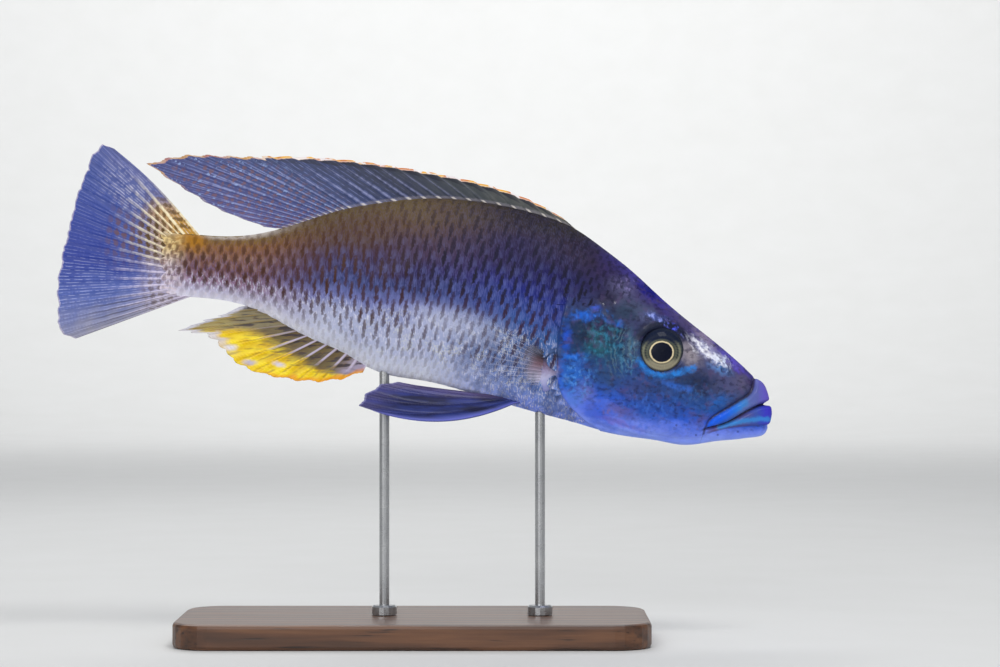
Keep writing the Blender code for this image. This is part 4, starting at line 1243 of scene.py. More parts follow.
@dataclass
class Scales:
    """Overlapping scales on one side, in rows along the mid line of the body."""

    shape: BodyShape
    colours: FishColours
    side: float
    rings: int = 6
    spokes: int = 30
    edge_thickness: float = 0.07
    lean: Pair = (0.17, 0.34)
    most_rows: int = 40
    row_shrink: float = 0.055
    least_row: float = 0.55
    even_share: float = 0.75
    back_gap: float = 0.5
    keel_gap: float = 0.3
    length_share: float = 0.82
    height_share: float = 0.94
    size_spread: float = 0.07
    lean_spread: float = 0.06
    place_spread: float = 0.12
    droop: float = 0.12
    sunk: float = 0.16
    nape_sunk: float = 0.16
    middle_fade: float = 0.8
    back_tilt: float = 0.3
    front_reach: float = 0.72
    narrowing: float = 0.10
    ring_power: float = 0.8
    dome: float = 0.06
    rim_drop: float = 0.05
    bake_patch: float = 0.003
    bake_fill: float = 1.9
    seed: int = 5

    def row_size(self, x: Array) -> Array:
        """How wide the rows stand at a place, as a share of the widest."""
        return np.interp(x, (-76.0, -60.0, -38.0, -14.0, 27.0), (0.56, 0.62, 0.80, 0.95, 1.0))

    def column_size(self, x: Array) -> Array:
        """How long the scales are at a place, as a share of the longest."""
        return np.interp(x, (-76.0, -50.0, -10.0, 30.0), (0.80, 0.87, 0.95, 1.0))

    def lattice(self, zone: ScaleZone) -> Tuple[Array, Array, Array, Array]:
        """The middles and sizes of one zone's scales.

        Args:
            zone: the patch to fill.

        Returns:
            Distances along the body and above the mid line, and the pitches there.
        """
        along, across, _, first, last = zone.value
        even = zone is not ScaleZone.FLANK
        columns = [first]
        while columns[-1] > last:
            size = 1.0 if even else float(self.column_size(columns[-1]))
            columns.append(columns[-1] - along * size)
        numbers = np.arange(len(columns) - 1)
        rows = np.arange(-self.most_rows, self.most_rows + 1)
        number, row = np.meshgrid(numbers, rows, indexing="ij")
        x = np.interp(number + 0.5 * (row % 2), np.arange(len(columns)), columns)
        down = np.arange(self.most_rows + 1)
        shrink = np.maximum(1.0 - self.row_shrink * down[1:], self.least_row)
        low_rows = np.concatenate(([0.0], np.cumsum(shrink)))
        plain = even | (row >= 0)
        level = np.where(plain, row, -np.interp(-row, down, low_rows))
        step = np.where(plain, 1.0, np.interp(-row, down, np.gradient(low_rows)))
        size = np.where(even, self.even_share + (1 - self.even_share) * self.row_size(x), self.row_size(x))
        up = level * across * size
        lean = self.lean[0] + (self.lean[1] - self.lean[0]) * smooth(x, -20, 40)
        x = x + up * lean
        x, up = x.ravel(), up.ravel()
        long = np.where(even, along, along * self.column_size(x))
        tall = (across * size * step).ravel()
        rising = self.shape.table_x[::-1]
        top = np.interp(x, rising, self.shape.arc_up[::-1])
        low = np.interp(x, rising, self.shape.arc_down[::-1])
        places, _ = self.shape.surface(x, up)
        z = places[:, 2]
        kept = (up < top - self.back_gap) & (up > self.keel_gap - low) & (x < first) & (x > last)
        kept &= self.zone_of(zone, x, z, self.shape.marks(x, z))
        return x[kept], up[kept], long[kept], tall[kept]

    def zone_of(self, zone: ScaleZone, x: Array, z: Array, marks: Marks) -> Array:
        """Which places belong to a zone.

        Args:
            zone: the patch that is filled.
            x: distances along the body.
            z: heights.
            marks: distances from the lines of the head.

        Returns:
            True for each place in the zone.
        """
        share = marks["share"]
        gill = marks["gill"]
        behind = np.where(z < GILL_TOP + 1.0, gill < 0.9, x < 56.5) & (marks["fin_root"] > 2.4)
        low = 0.78 + 0.30 * smooth(x, -25, -60)
        if zone is ScaleZone.FLANK:
            return behind & (share < low)
        if zone is ScaleZone.BELLY:
            return behind & (share >= low)
        if zone is ScaleZone.NAPE:
            slope = np.interp(x, (52.0, 60.0, 84.0), (GILL_TOP + 1.0, 110.5, 108.5))
            return (x >= 54.0) & (z > slope)
        if zone is ScaleZone.COVER:
            return (gill > 1.6) & (marks["cheek"] < -1.0) & (z < 107.5) & (z > 73.0)
        return x < STALK_END

    def plate(self) -> Tuple[Array, Array, Array, List[Array]]:
        """One scale's own points, from its middle out to its rim.

        Returns:
            Places towards the tail and across, the share of the way to the rim, and faces.
        """
        angle = 2.0 * np.pi * np.arange(self.spokes) / self.spokes
        share = (np.arange(1, self.rings + 1)[:, None] / self.rings) ** self.ring_power
        rear = np.maximum(np.cos(angle), 0.0)
        front = np.minimum(np.cos(angle), 0.0)
        grids = (
            share * (rear + self.front_reach * front),
            share * np.sin(angle) * (1.0 - self.narrowing * rear),
            share + 0.0 * angle,
        )
        along, across, out = (np.concatenate(([0.0], grid.ravel(), grid[-1])) for grid in grids)
        numbers = np.arange(self.spokes)
        after = (numbers + 1) % self.spokes
        fan = np.stack((np.zeros(self.spokes, int), 1 + numbers, 1 + after), axis=1)
        quads = grid_faces(self.rings, self.spokes, looped=True, first=1)
        top = 1 + self.rings * self.spokes
        rim = 1 + (self.rings - 1) * self.spokes
        wall = np.stack((rim + numbers, top + numbers, top + after, rim + after), axis=1)
        floor = (top + numbers)[::-1][None, :]
        return along, across, out, [fan, quads[:, ::-1], wall, floor]

    def build(self) -> List[Object]:
        """Make the scales of this side, in pieces under the limit of triangles.

        Returns:
            The dressed pieces.
        """
        made = []
        material = ScaleHorn(self.colours).make()
        draw = np.random.default_rng(self.seed)
        name = "left" if self.side > 0.0 else "right"
        for zone in ScaleZone:
            item = self.make_zone(f"scales_{zone.name.lower()}_{name}", zone, draw)
            settle(item, material, "scaled_skin")
            made.append(item)
        return made

    def make_zone(self, name: str, zone: ScaleZone, draw: np.random.Generator) -> Object:
        """All scales of one zone as one mesh.

        Args:
            name: the piece's name.
            zone: the patch that is filled.
            draw: the source of the small differences between scales.

        Returns:
            The mesh object.
        """
        tilt = zone.value[2]
        x, up, long, tall = self.lattice(zone)
        u, v, out, faces = self.plate()
        count = len(x)
        chance = draw.random(count)
        size = 1.0 + self.size_spread * (draw.random(count) - 0.5)
        length = self.length_share * long * size
        height = self.height_share * tall * size
        lean = self.lean_spread * (draw.random(count) - 0.5) - self.droop
        reach_u = u[None, :] * length[:, None]
        reach_v = v[None, :] * height[:, None] + lean[:, None] * reach_u
        place_x = x[:, None] - reach_u + self.place_spread * (draw.random(count) - 0.5)[:, None]
        place_up = up[:, None] + reach_v
        points, normals = self.shape.surface(place_x, place_up)
        marks = self.shape.marks(points[..., 0], points[..., 2])
        lift = self.shape.relief(points[..., 0], points[..., 2], marks)
        fade = np.minimum(np.abs(points[..., 1]) / self.middle_fade, 1.0)
        root_z = self.shape.surface(x, up)[0][:, 2]
        off_back = smooth(self.shape.share(x, root_z), 0.05, 0.35)
        flat = self.back_tilt + (1.0 - self.back_tilt) * off_back
        plate = tilt * flat[:, None] * reach_u - self.rim_drop * out ** 6 - self.dome * v ** 2
        top = 1 + self.rings * self.spokes
        plate[:, top:] -= self.edge_thickness
        if zone is ScaleZone.NAPE:
            plate -= (self.nape_sunk * smooth(root_z, 115, 109.5) * smooth(x, 56, 62))[:, None]
        offset = (lift - self.sunk) * fade + plate
        points = points + normals * offset[..., None]
        points[..., 1] *= self.side
        size_of = points.shape[1]
        starts = np.arange(count) * size_of
        groups = []
        for group in faces:
            turned = group if self.side < 0.0 else group[:, ::-1]
            groups.append((starts[:, None, None] + turned[None]).reshape(-1, turned.shape[1]))
        values = {
            **{key: marks[key].ravel() for key in ("share", "gill", "eye")},
            "scale_u": np.tile(u, count),
            "scale_v": np.tile(v, count),
            "scale_out": np.tile(out, count),
            "chance": np.repeat(chance, size_of),
        }
        item = make_piece(name, points.reshape(-1, 3), groups, values)
        self.crease(item, size_of)
        self.unwrap(item, x, up, u, v)
        return item

    def crease(self, item: Object, size_of: int) -> None:
        """Shade each scale's rim as a sharp edge, so that its top stays evenly lit.

        Args:
            item: the mesh of scales.
            size_of: how many vertices one scale has.
        """
        ends = np.zeros(2 * len(item.data.edges), np.int32)
        item.data.edges.foreach_get("vertices", ends)
        place = ends.reshape(-1, 2) % size_of
        rim = 1 + (self.rings - 1) * self.spokes
        sharp = np.all((place >= rim) & (place < rim + self.spokes), axis=1)
        layer = item.data.attributes.new("sharp_edge", "BOOLEAN", "EDGE")
        layer.data.foreach_set("value", sharp)

    def unwrap(self, item: Object, x: Array, up: Array, u: Array, v: Array) -> None:
        """Give each scale a small patch at its root's place on an unwrap of the skin.

        Args:
            item: the mesh of scales.
            x: the scales' distances along the body.
            up: the scales' distances above the mid line.
            u: the plate's own places along.
            v: the plate's own places across.
        """
        scale = self.bake_fill / (2.0 * (SNOUT_TIP - SKIN_END))
        half = self.bake_patch / 2.0
        place_u = 0.5 + (x[:, None] - (SNOUT_TIP + SKIN_END) / 2.0) * scale - u * half
        place_v = 0.5 + up[:, None] * scale + v * half
        places = np.stack((place_u, place_v), axis=2).reshape(-1, 2)
        loops = np.zeros(len(item.data.loops), np.int32)
        item.data.loops.foreach_get("vertex_index", loops)
        layer = item.data.uv_layers.new(name="OFBake")
        layer.data.foreach_set("uv", places[loops].astype(np.float32).ravel())


@dataclass(frozen=True)
class EyeGlass:
    """The finish of an eye: a blue-black pupil, a thin gold ring and an olive iris with painted shade over
    its upper part.
    """

    name: str
    pupil_place: Pair = (78.7, 92.2)
    pupil_size: Pair = (3.35, 3.05)

    def make(self) -> Material:
        """Colour the ball by the distance from its pupil and its middle.

        Returns:
            The material.
        """
        paint = Paint(self.name, Specular_IOR_Level=0.12, Coat_Roughness=0.02, Coat_IOR=1.38)
        x, _, z = paint.axes()
        off_x = (x - self.pupil_place[0]) / self.pupil_size[0]
        off_z = (z - self.pupil_place[1]) / self.pupil_size[1]
        pupil = (off_x * off_x + off_z * off_z) ** 0.5
        eye_x = x - EYE_PLACE[0]
        eye_z = z - EYE_PLACE[1]
        out = (eye_x * eye_x + eye_z * eye_z) ** 0.5
        angle = eye_z.maths("ARCTAN2", eye_z, eye_x)
        fibre = (angle * 38 + out * 2).wave()
        fine = paint.noise(0.7, detail=4)
        coat = Coat(paint, paint.ramp(
            (pupil + (fine - 0.5) * 0.10) * 0.4, (0, 2, 8, 28), (0.37, 4, 10, 32), (0.40, 30, 30, 36),
            (0.42, 224, 210, 172), (0.455, 206, 186, 146), (0.48, 58, 64, 62), (0.56, 82, 88, 76),
            (0.62, 40, 48, 54), (0.70, 126, 128, 108), (0.78, 66, 76, 78), (1, 40, 50, 60),
        ))
        outside = pupil.step(1.25, 1.45)
        coat.lay(outside * fibre.step(-0.4, 1) * 0.10, (170, 160, 120))
        # Painted shade: the iris's upper part is darkened as if shadowed by the brow.
        shade = (eye_z + (fine - 0.5) * 1.5).step(0.5, 3.4) * outside
        coat.lay(shade * 0.95, (6, 20, 50))
        crescent = out.step(3.9, 5) * eye_z.step(-2, -4.4)
        coat.lay(crescent * 0.6, (178, 168, 142))
        coat.lay(out.step(6, 6.7) * 0.8, (34, 40, 56))
        return paint.finish(
            Base_Color=coat.colour,
            Roughness=0.5 + outside * 0.12,
            Metallic=outside * 0.15,
            Coat_Weight=0.05 + outside * 0.08,
            Normal=paint.relief(fibre * outside + fine, 0.04, 0.5),
        )


@dataclass
class Eye:
    """One eyeball with its iris, pupil and wet surface."""

    side: float
    around: int = 128
    rows: int = 64

    def build(self) -> Object:
        """Make the eyeball.

        Returns:
            The dressed eye.
        """
        facing = Vector((EYE_AIM[0], self.side, EYE_AIM[1]))
        turn = np.array(facing.to_track_quat("Z", "X").to_matrix())
        polar = np.linspace(0.0, np.pi, self.rows + 1)[1:-1, None]
        angle = 2.0 * np.pi * np.arange(self.around)[None, :] / self.around
        local = np.stack(
            (
                EYE_RADIUS * np.sin(polar) * np.cos(angle),
                EYE_RADIUS * np.sin(polar) * np.sin(angle),
                EYE_HALF_DEPTH * np.cos(polar) + 0.0 * angle,
            ),
            axis=2,
        ).reshape(-1, 3)
        poles = np.array([[0.0, 0.0, EYE_HALF_DEPTH], [0.0, 0.0, -EYE_HALF_DEPTH]])
        middle = np.array([EYE_PLACE[0], self.side * EYE_CENTRE_Y, EYE_PLACE[1]])
        points = np.concatenate((local, poles)) @ turn.T + middle
        count = self.rows - 1
        near = np.arange(self.around)
        after = (near + 1) % self.around
        last = (count - 1) * self.around
        first_pole = count * self.around
        top = np.stack((np.full(self.around, first_pole), near, after), axis=1)
        low = np.stack((np.full(self.around, first_pole + 1), last + after, last + near), axis=1)
        quads = grid_faces(count, self.around, looped=True)[:, ::-1]
        name = "eye_left" if self.side > 0.0 else "eye_right"
        item = make_piece(name + "_ball", points, [top, quads, low])
        settle(item, EyeGlass(name).make(), "eye_ball", name)
        return item


# Fins.


@dataclass(frozen=True)
class FinFilm:
    """The finish of a fin: a thin film over ridged and jointed rays."""

    name: str
    clear: float = 0.06
    ior: float = 1.4
    specular: float = 0.25
    coat: float = 0.12

    def colour(self, paint: Paint) -> Tint:
        """The colour of the fin."""
        raise NotImplementedError

    def alpha(self, paint: Paint) -> Value:
        """How solid the fin is: whole on its rays and slightly clear between them."""
        ray, out = paint.reads("ray", "out")
        return 1 - self.clear * ray.step(0.7, 0.1) * out.step(0.02, 0.25)

    def make(self) -> Material:
        """The film with its own colour, which all fins share but for that.

        Returns:
            The material.
        """
        constants = {"IOR": self.ior, "Specular_IOR_Level": self.specular, "Coat_Weight": self.coat}
        paint = Paint(self.name, Coat_Roughness=0.2, **constants)
        ray, out, reach = paint.reads("ray", "out", "reach")
        fine = paint.noise(0.8)
        joints = (reach * 6).wave() * ray * out.step(0.12, 0.3)
        return paint.finish(
            Base_Color=self.colour(paint),
            Roughness=0.32 + fine * 0.2,
            Normal=paint.relief(ray * 1.4 + joints * 0.35 + fine * 0.5, 0.08, 0.8),
            Alpha=self.alpha(paint),
        )


@dataclass
class Fin:
    """A thin sheet with rays from root to margin."""

    shape: BodyShape
    name: str
    slot: str
    film: FinFilm
    rays: int
    columns: int = 10
    rows: int = 60
    sink: float = 1.6
    notch: float = 0.6
    fray: float = 0.0
    ray_half: Pair = (0.34, 0.11)
    membrane_half: Pair = (0.13, 0.05)
    forks: Pair = (0.21, 0.095)
    fork_starts: Pair = (0.30, 0.62)
    ray_width: Pair = (0.17, 0.10)
    ripple: float = 0.35
    lappet_end: float = 0.88
    long_tears: float = 0.6
    short_tears: float = 0.8
    most_loss: float = 0.35
    spines: int = 0
    seed: int = 1

    def ray_ends(self) -> Tuple[Array, Array]:
        """Where each ray starts and ends."""
        raise NotImplementedError

    def bend(self, along: Array, out: Array) -> Array:
        """How far the sheet is moved from flat, by the share of the fin and the ray."""
        raise NotImplementedError

    def across(self, roots: Array, tips: Array) -> Array:
        """The way the sheet's thickness goes."""
        return np.array([0.0, 1.0, 0.0])

    def ridges(self, place: Array, out: Array) -> Array:
        """How near each place is to a ray, whose soft ones branch twice.

        Args:
            place: places along the fin, counted in rays.
            out: shares of the way from root to margin.

        Returns:
            One on a ray and nothing on the membrane.
        """
        near = np.round(place)
        offset = place - near
        soft = (near >= self.spines).astype(float)
        first = self.forks[0] * smooth(out, self.fork_starts[0], 1) * soft
        second = self.forks[1] * smooth(out, self.fork_starts[1], 1) * soft
        width = self.ray_width[0] - self.ray_width[1] * np.clip(out, 0.0, 1.0)
        found = np.zeros(np.broadcast(place, out).shape)
        for a in (-1.0, 1.0):
            for b in (-1.0, 1.0):
                found = np.maximum(found, bump(offset - a * first - b * second, width))
        return found

    def margin_loss(self, place: Array, draw: np.random.Generator) -> Array:
        """How much shorter the sheet is at its margin, between rays and where it is torn.

        Args:
            place: places along the fin, counted in rays.
            draw: the source of the tears.

        Returns:
            Lengths in millimetres.
        """
        part = place - np.floor(place)
        spiny = place < self.spines - 0.5
        soft = self.notch * (1.0 - np.abs(2.0 * part - 1.0) ** 2.0)
        lappet = self.notch * part ** 2 * (1.0 - smooth(part, self.lappet_end, 1))
        fine = self.notch * self.ripple * (1.0 - self.ridges(place, np.ones_like(place)))
        tears = np.interp(place, np.arange(self.rays), draw.random(self.rays))
        quick = np.interp(place, np.arange(0, self.rays, 0.25), draw.random(4 * self.rays))
        deep = self.long_tears * tears + self.short_tears * quick ** 2
        torn = self.fray * self.tear_place(place) * deep
        return np.where(spiny, lappet, soft + fine) + torn

    def tear_place(self, place: Array) -> Array:
        """Where along the fin the margin is torn."""
        return np.ones_like(place)

    def build(self) -> Object:
        """Make the fin.

        Returns:
            The dressed fin.
        """
        draw = np.random.default_rng(self.seed)
        roots, tips = self.ray_ends()
        numbers = np.arange(self.rays)
        place = np.linspace(0.0, self.rays - 1.0, (self.rays - 1) * self.columns + 1)
        root = np.stack([np.interp(place, numbers, roots[:, k]) for k in range(3)], axis=1)
        tip = np.stack([np.interp(place, numbers, tips[:, k]) for k in range(3)], axis=1)
        full = np.linalg.norm(tip - root, axis=1)
        loss = np.minimum(self.margin_loss(place, draw), self.most_loss * full)
        levels = np.linspace(0.0, 1.0, self.rows)[None, :]
        reach = -self.sink + (full - loss + self.sink)[:, None] * levels
        out = reach / full[:, None]
        along = np.broadcast_to((place / (self.rays - 1.0))[:, None], out.shape)
        ahead = (tip - root) / full[:, None]
        middle = root[:, None, :] + ahead[:, None, :] * reach[..., None]
        middle = middle + self.bend(along, np.clip(out, 0.0, 1.0))
        ridge = self.ridges(np.broadcast_to(place[:, None], out.shape), out)
        share = np.clip(out, 0.0, 1.0)
        ray = self.ray_half[0] + (self.ray_half[1] - self.ray_half[0]) * share
        film = self.membrane_half[0] + (self.membrane_half[1] - self.membrane_half[0]) * share
        thick = film + (ray - film) * ridge
        wide = self.across(roots, tips) * thick[..., None]
        points = np.concatenate(((middle + wide).reshape(-1, 3), (middle - wide).reshape(-1, 3)))
        grids = {
            "along": along, "place": place[:, None] + 0.0 * out, "out": out, "ray": ridge,
            "reach": reach, "edge": (full - loss)[:, None] - reach,
        }
        values = {key: np.tile(grid.ravel(), 2) for key, grid in grids.items()}
        item = make_piece(self.name + "_sheet", points, self.sheet_faces(len(place)), values)
        settle(item, self.film.make(), self.slot, self.name)
        return item

    def sheet_faces(self, lines: int) -> List[Array]:
        """Faces of two like sheets and of the walls between their edges.

        Args:
            lines: how many lines run from root to margin.

        Returns:
            Arrays of quads.
        """
        one = lines * self.rows
        front = grid_faces(lines, self.rows)
        rear = front[:, ::-1] + one
        numbers = np.arange(one).reshape(lines, self.rows)
        edges = (numbers[::-1, 0], numbers[:, -1], numbers[0], numbers[-1, ::-1])
        walls = [np.stack((e[:-1], e[1:], e[1:] + one, e[:-1] + one), axis=1) for e in edges]
        return [front[:, ::-1], rear[:, ::-1], *walls]


@dataclass(frozen=True)
class DorsalFilm(FinFilm):
    """Blue-grey film with pale rays, blotches, and an orange and white margin."""

    def colour(self, paint: Paint) -> Tint:
        """The colour from the first spine to the torn tip.

        Args:
            paint: the material.

        Returns:
            The colour.
        """
        along, place, out, ray, edge, reach = paint.reads("along", "place", "out", "ray", "edge", "reach")
        cloud = paint.noise(4)
        fine = paint.noise(1)
        soft = along.step(0.5, 0.66)
        coat = Coat(paint, paint.ramp(
            along + (cloud - 0.5) * 0.2, (0, 92, 92, 88), (0.2, 52, 58, 62), (0.4, 30, 38, 66),
            (0.62, 54, 68, 118), (0.82, 66, 70, 126), (1, 86, 80, 132),
        ))
        lit = paint.noise(1.6, detail=4).step(0.36, 0.60)
        pale = ray.step(0.35, 0.9) * along.step(0.16, 0.52) * out.step(0.95, 0.55)
        coat.lay(pale * (0.25 + 0.4 * lit), (152, 158, 204))
        hair = (place * 3 + (cloud - 0.5) * 0.5).repeat().step(0.34, 0.46)
        coat.lay(hair * lit * 0.5 * along.step(0.25, 0.60), (128, 142, 202))
        spots = (place + 0.5 + (fine - 0.5) * 0.5).repeat() * 2
        rows = (reach / 2.7 + place * 0.37 + cloud * 1.6).repeat() * 2
        blot = (spots * spots + rows * rows + (fine - 0.5) * 2.4).step(0.50, 0)
        inner = (edge + (cloud - 0.5) * 8).step(1.5, 7)
        coat.lay(blot * soft * inner * 0.55, (124, 78, 62))
        dots = (place + (fine - 0.5) * 0.4).repeat() * 2
        others = (reach / 3.1 + place * 0.43 + cloud * 3.9).repeat() * 2
        gleam = (dots * dots * 3 + others * others * 0.8 + (fine - 0.5) * 2.4).step(0.10, -0.1)
        coat.lay(gleam * soft * 0.6, (150, 176, 226))
        part = place.maths("FRACT", place)
        wedge = (edge - 1.2 - 9 * (1 - part) * cloud).step(1, 0) * ray.step(0.9, 0.4)
        wedge = wedge * along.step(0.02, 0.06) * along.step(0.64, 0.46)
        coat.lay(wedge * (0.55 + 0.4 * part), (12, 14, 34))
        base = (reach + (fine - 0.5) * 1.6).step(1.5, 0.2)
        coat.lay(base * 0.28, (160, 152, 166))
        bead = (reach + (fine - 0.5) * 0.5).step(0.75, 0.35) * ray.step(0.4, 0.9)
        coat.lay(bead * 0.7, (222, 214, 206))
        hem = (edge + (fine - 0.5) * 0.9).step(1.5, 1) * (1 - soft * 0.45)
        gilt = paint.mix(cloud.step(0.42, 0.58), (208, 122, 52), (238, 176, 40))
        gilt = paint.mix(along.step(0.79, 0.86), gilt, (128, 108, 128))
        coat.lay(hem, gilt)
        white = (place * 0.62 + cloud * 1.7).repeat().step(0.30, 0.40)
        inside = (edge + (fine - 0.5) * 0.6).step(0.55, 1)
        white = (white + (1 - white) * inside * 0.5) * (1 - soft * 0.6)
        coat.lay(hem * white * 0.9, (236, 232, 236))
        return coat.colour


@dataclass
class DorsalFin(Fin):
    """The long fin on the back: stiff spines in front, soft rays behind."""

    root_places: Point = (51.0, -21.0, -43.6)
    spine_share: float = 0.72
    tip_ray: int = 6
    sway: float = 1.6

    def ray_ends(self) -> Tuple[Array, Array]:
        """Where each ray starts and ends.

        Returns:
            The roots on the back and the tips on the margin.
        """
        margin = smooth_path((
            (52.2, 131.8), (45.4, 136.5), (33.6, 142.4), (1.9, 150.4), (-33, 154.7),
            (-60, 155.2), (-78, 154.9), (-86.1, 152.6),
        ))
        rear = smooth_path(((-86.1, 152.6), (-69.8, 141.3), (-58.9, 135.9), (-49, 132.3)))
        front_x, joint_x, rear_x = self.root_places
        soft = self.rays - self.spines
        spine = np.arange(self.spines)
        ray = np.arange(1, soft + 1)
        x = np.concatenate((
            front_x + (joint_x - front_x) * spine / (self.spines - 1),
            joint_x + (rear_x - joint_x) * ray / soft,
        ))
        tips = [margin(self.spine_share * ((spine + 1) / self.spines) ** 1.05)]
        rising = ray[ray <= self.tip_ray] / self.tip_ray
        tips.append(margin(self.spine_share + (1.0 - self.spine_share) * rising))
        tips.append(rear((ray[ray > self.tip_ray] - self.tip_ray) / (soft - self.tip_ray)))
        ends = np.concatenate(tips)
        roots = np.stack((x, 0.0 * x, self.shape.back(x) + 0.3), axis=1)
        return roots, np.stack((ends[:, 0], 0.0 * x, ends[:, 1]), axis=1)

    def bend(self, along: Array, out: Array) -> Array:
        """A soft wave across, strongest at the margin."""
        wave = self.sway * np.sin(np.pi * 1.5 * along) * out ** 1.5
        return np.stack((0.0 * wave, wave, 0.0 * wave), axis=-1)

    def tear_place(self, place: Array) -> Array:
        """The soft hind part is torn, and the spines are whole."""
        return smooth(place, 19, 23)


EGG_SPOTS = [Patch(*row) for row in (
    (-58.6, 93.6, 2.3, 1.1, (224, 220, 238), 0.9),
    (-52.6, 88.9, 2.6, 1, (186, 180, 216), 0.85),
    (-43.2, 88.3, 2.2, 0.9, (216, 210, 236), 0.85, 15),
    (-62.6, 98.4, 1.4, 0.7, (200, 190, 190), 0.6),
)]


@dataclass(frozen=True)
class AnalFilm(FinFilm):
    """Yellow with pale egg spots, smoky at its root and rear, pale at the tips."""

    clear: float = 0.08

    def colour(self, paint: Paint) -> Tint:
        """The colour from the smoky front to the pale tips.

        Args:
            paint: the material.

        Returns:
            The colour.
        """
        along, out, ray, edge = paint.reads("along", "out", "ray", "edge")
        cloud = paint.noise(5, (1, 1, 2))
        fine = paint.noise(0.9)
        streak = paint.noise(2.2, (0.35, 1, 2.2))
        coat = Coat(paint, paint.mix(cloud.step(0.35, 0.65), (226, 184, 4), (244, 216, 30)))
        smoke = (out + (streak - 0.5) * 0.7 - along.step(0.50, 0.15) * 0.28).step(0.50, 0.22)
        coat.lay(smoke * 0.9, (68, 58, 58))
        rear = (along + (streak - 0.5) * 0.24 - out * 0.10).step(0.55, 0.70)
        coat.lay(rear * 0.85, (134, 124, 96))
        front = (along + (streak - 0.5) * 0.2).step(0.18, 0.02) * out.step(0.9, 0.5)
        coat.lay(front * 0.8, (176, 164, 196))
        lines = (paint.read("place") * 2 + (cloud - 0.5) * 0.6).repeat().step(0.20, 0.04)
        lines = lines * streak.step(0.40, 0.58)
        coat.lay(lines * 0.55, (150, 112, 28))
        pale = ray.step(0.4, 0.95) * (out + (streak - 0.5) * 0.4).step(0.55, 0.20)
        pale = pale * along.step(0.75, 0.45)
        coat.lay(pale * 0.75, (206, 196, 226))
        dark = streak.step(0.47, 0.60) * out.step(0.70, 0.30) * ray.step(0.6, 0.2)
        coat.lay(dark * 0.85, (40, 32, 50))
        place = paint.warped(1.6, 1.2)
        coat.lay_patches(EGG_SPOTS, place)
        low = (edge + (cloud - 0.5) * 2).step(2.4, 0.8) * along.step(0.50, 0.25)
        coat.lay(low * 0.7, (232, 140, 16))
        tips = (edge + (fine - 0.5) * 2).step(4.5, 1.5) * along.step(0.50, 0.66)
        coat.lay(tips * 0.8, (204, 204, 222))
        return coat.colour


@dataclass
class AnalFin(Fin):
    """The fin under the tail stalk, drawn out to a ragged point behind."""

    root_places: Pair = (-15.5, -54.5)
    tip_ray: int = 9
    sway: float = 1.4

    def ray_ends(self) -> Tuple[Array, Array]:
        """Where each ray starts and ends.

        Returns:
            The roots on the belly and the tips on the margin.
        """
        margin = smooth_path((
            (-16.5, 85.4), (-21.3, 83.6), (-35.6, 82.5), (-49.4, 85), (-58.5, 88.4),
            (-65.3, 94.9), (-77, 98.8),
        ))
        rear = smooth_path(((-77, 98.8), (-71.6, 101.6), (-61.4, 105.2), (-56.4, 106.6)))
        ray = np.arange(self.rays)
        x = self.root_places[0] + (self.root_places[1] - self.root_places[0]) * ray / (self.rays - 1)
        past = (ray[ray > self.tip_ray] - self.tip_ray) / (self.rays - 1 - self.tip_ray)
        ends = np.concatenate((margin(ray[ray <= self.tip_ray] / self.tip_ray), rear(past)))
        roots = np.stack((x, 0.0 * x, self.shape.belly(x) - 0.3), axis=1)
        return roots, np.stack((ends[:, 0], 0.0 * x, ends[:, 1]), axis=1)

    def bend(self, along: Array, out: Array) -> Array:
        """One soft curve across, strongest at the margin."""
        wave = -self.sway * np.sin(np.pi * along) * out ** 1.5
        return np.stack((0.0 * wave, wave, 0.0 * wave), axis=-1)

    def tear_place(self, place: Array) -> Array:
        """The hind margin is torn, and the front is whole."""
        return smooth(place, 4, 9) * (1.0 + 0.8 * smooth(place, 8.4, 10))


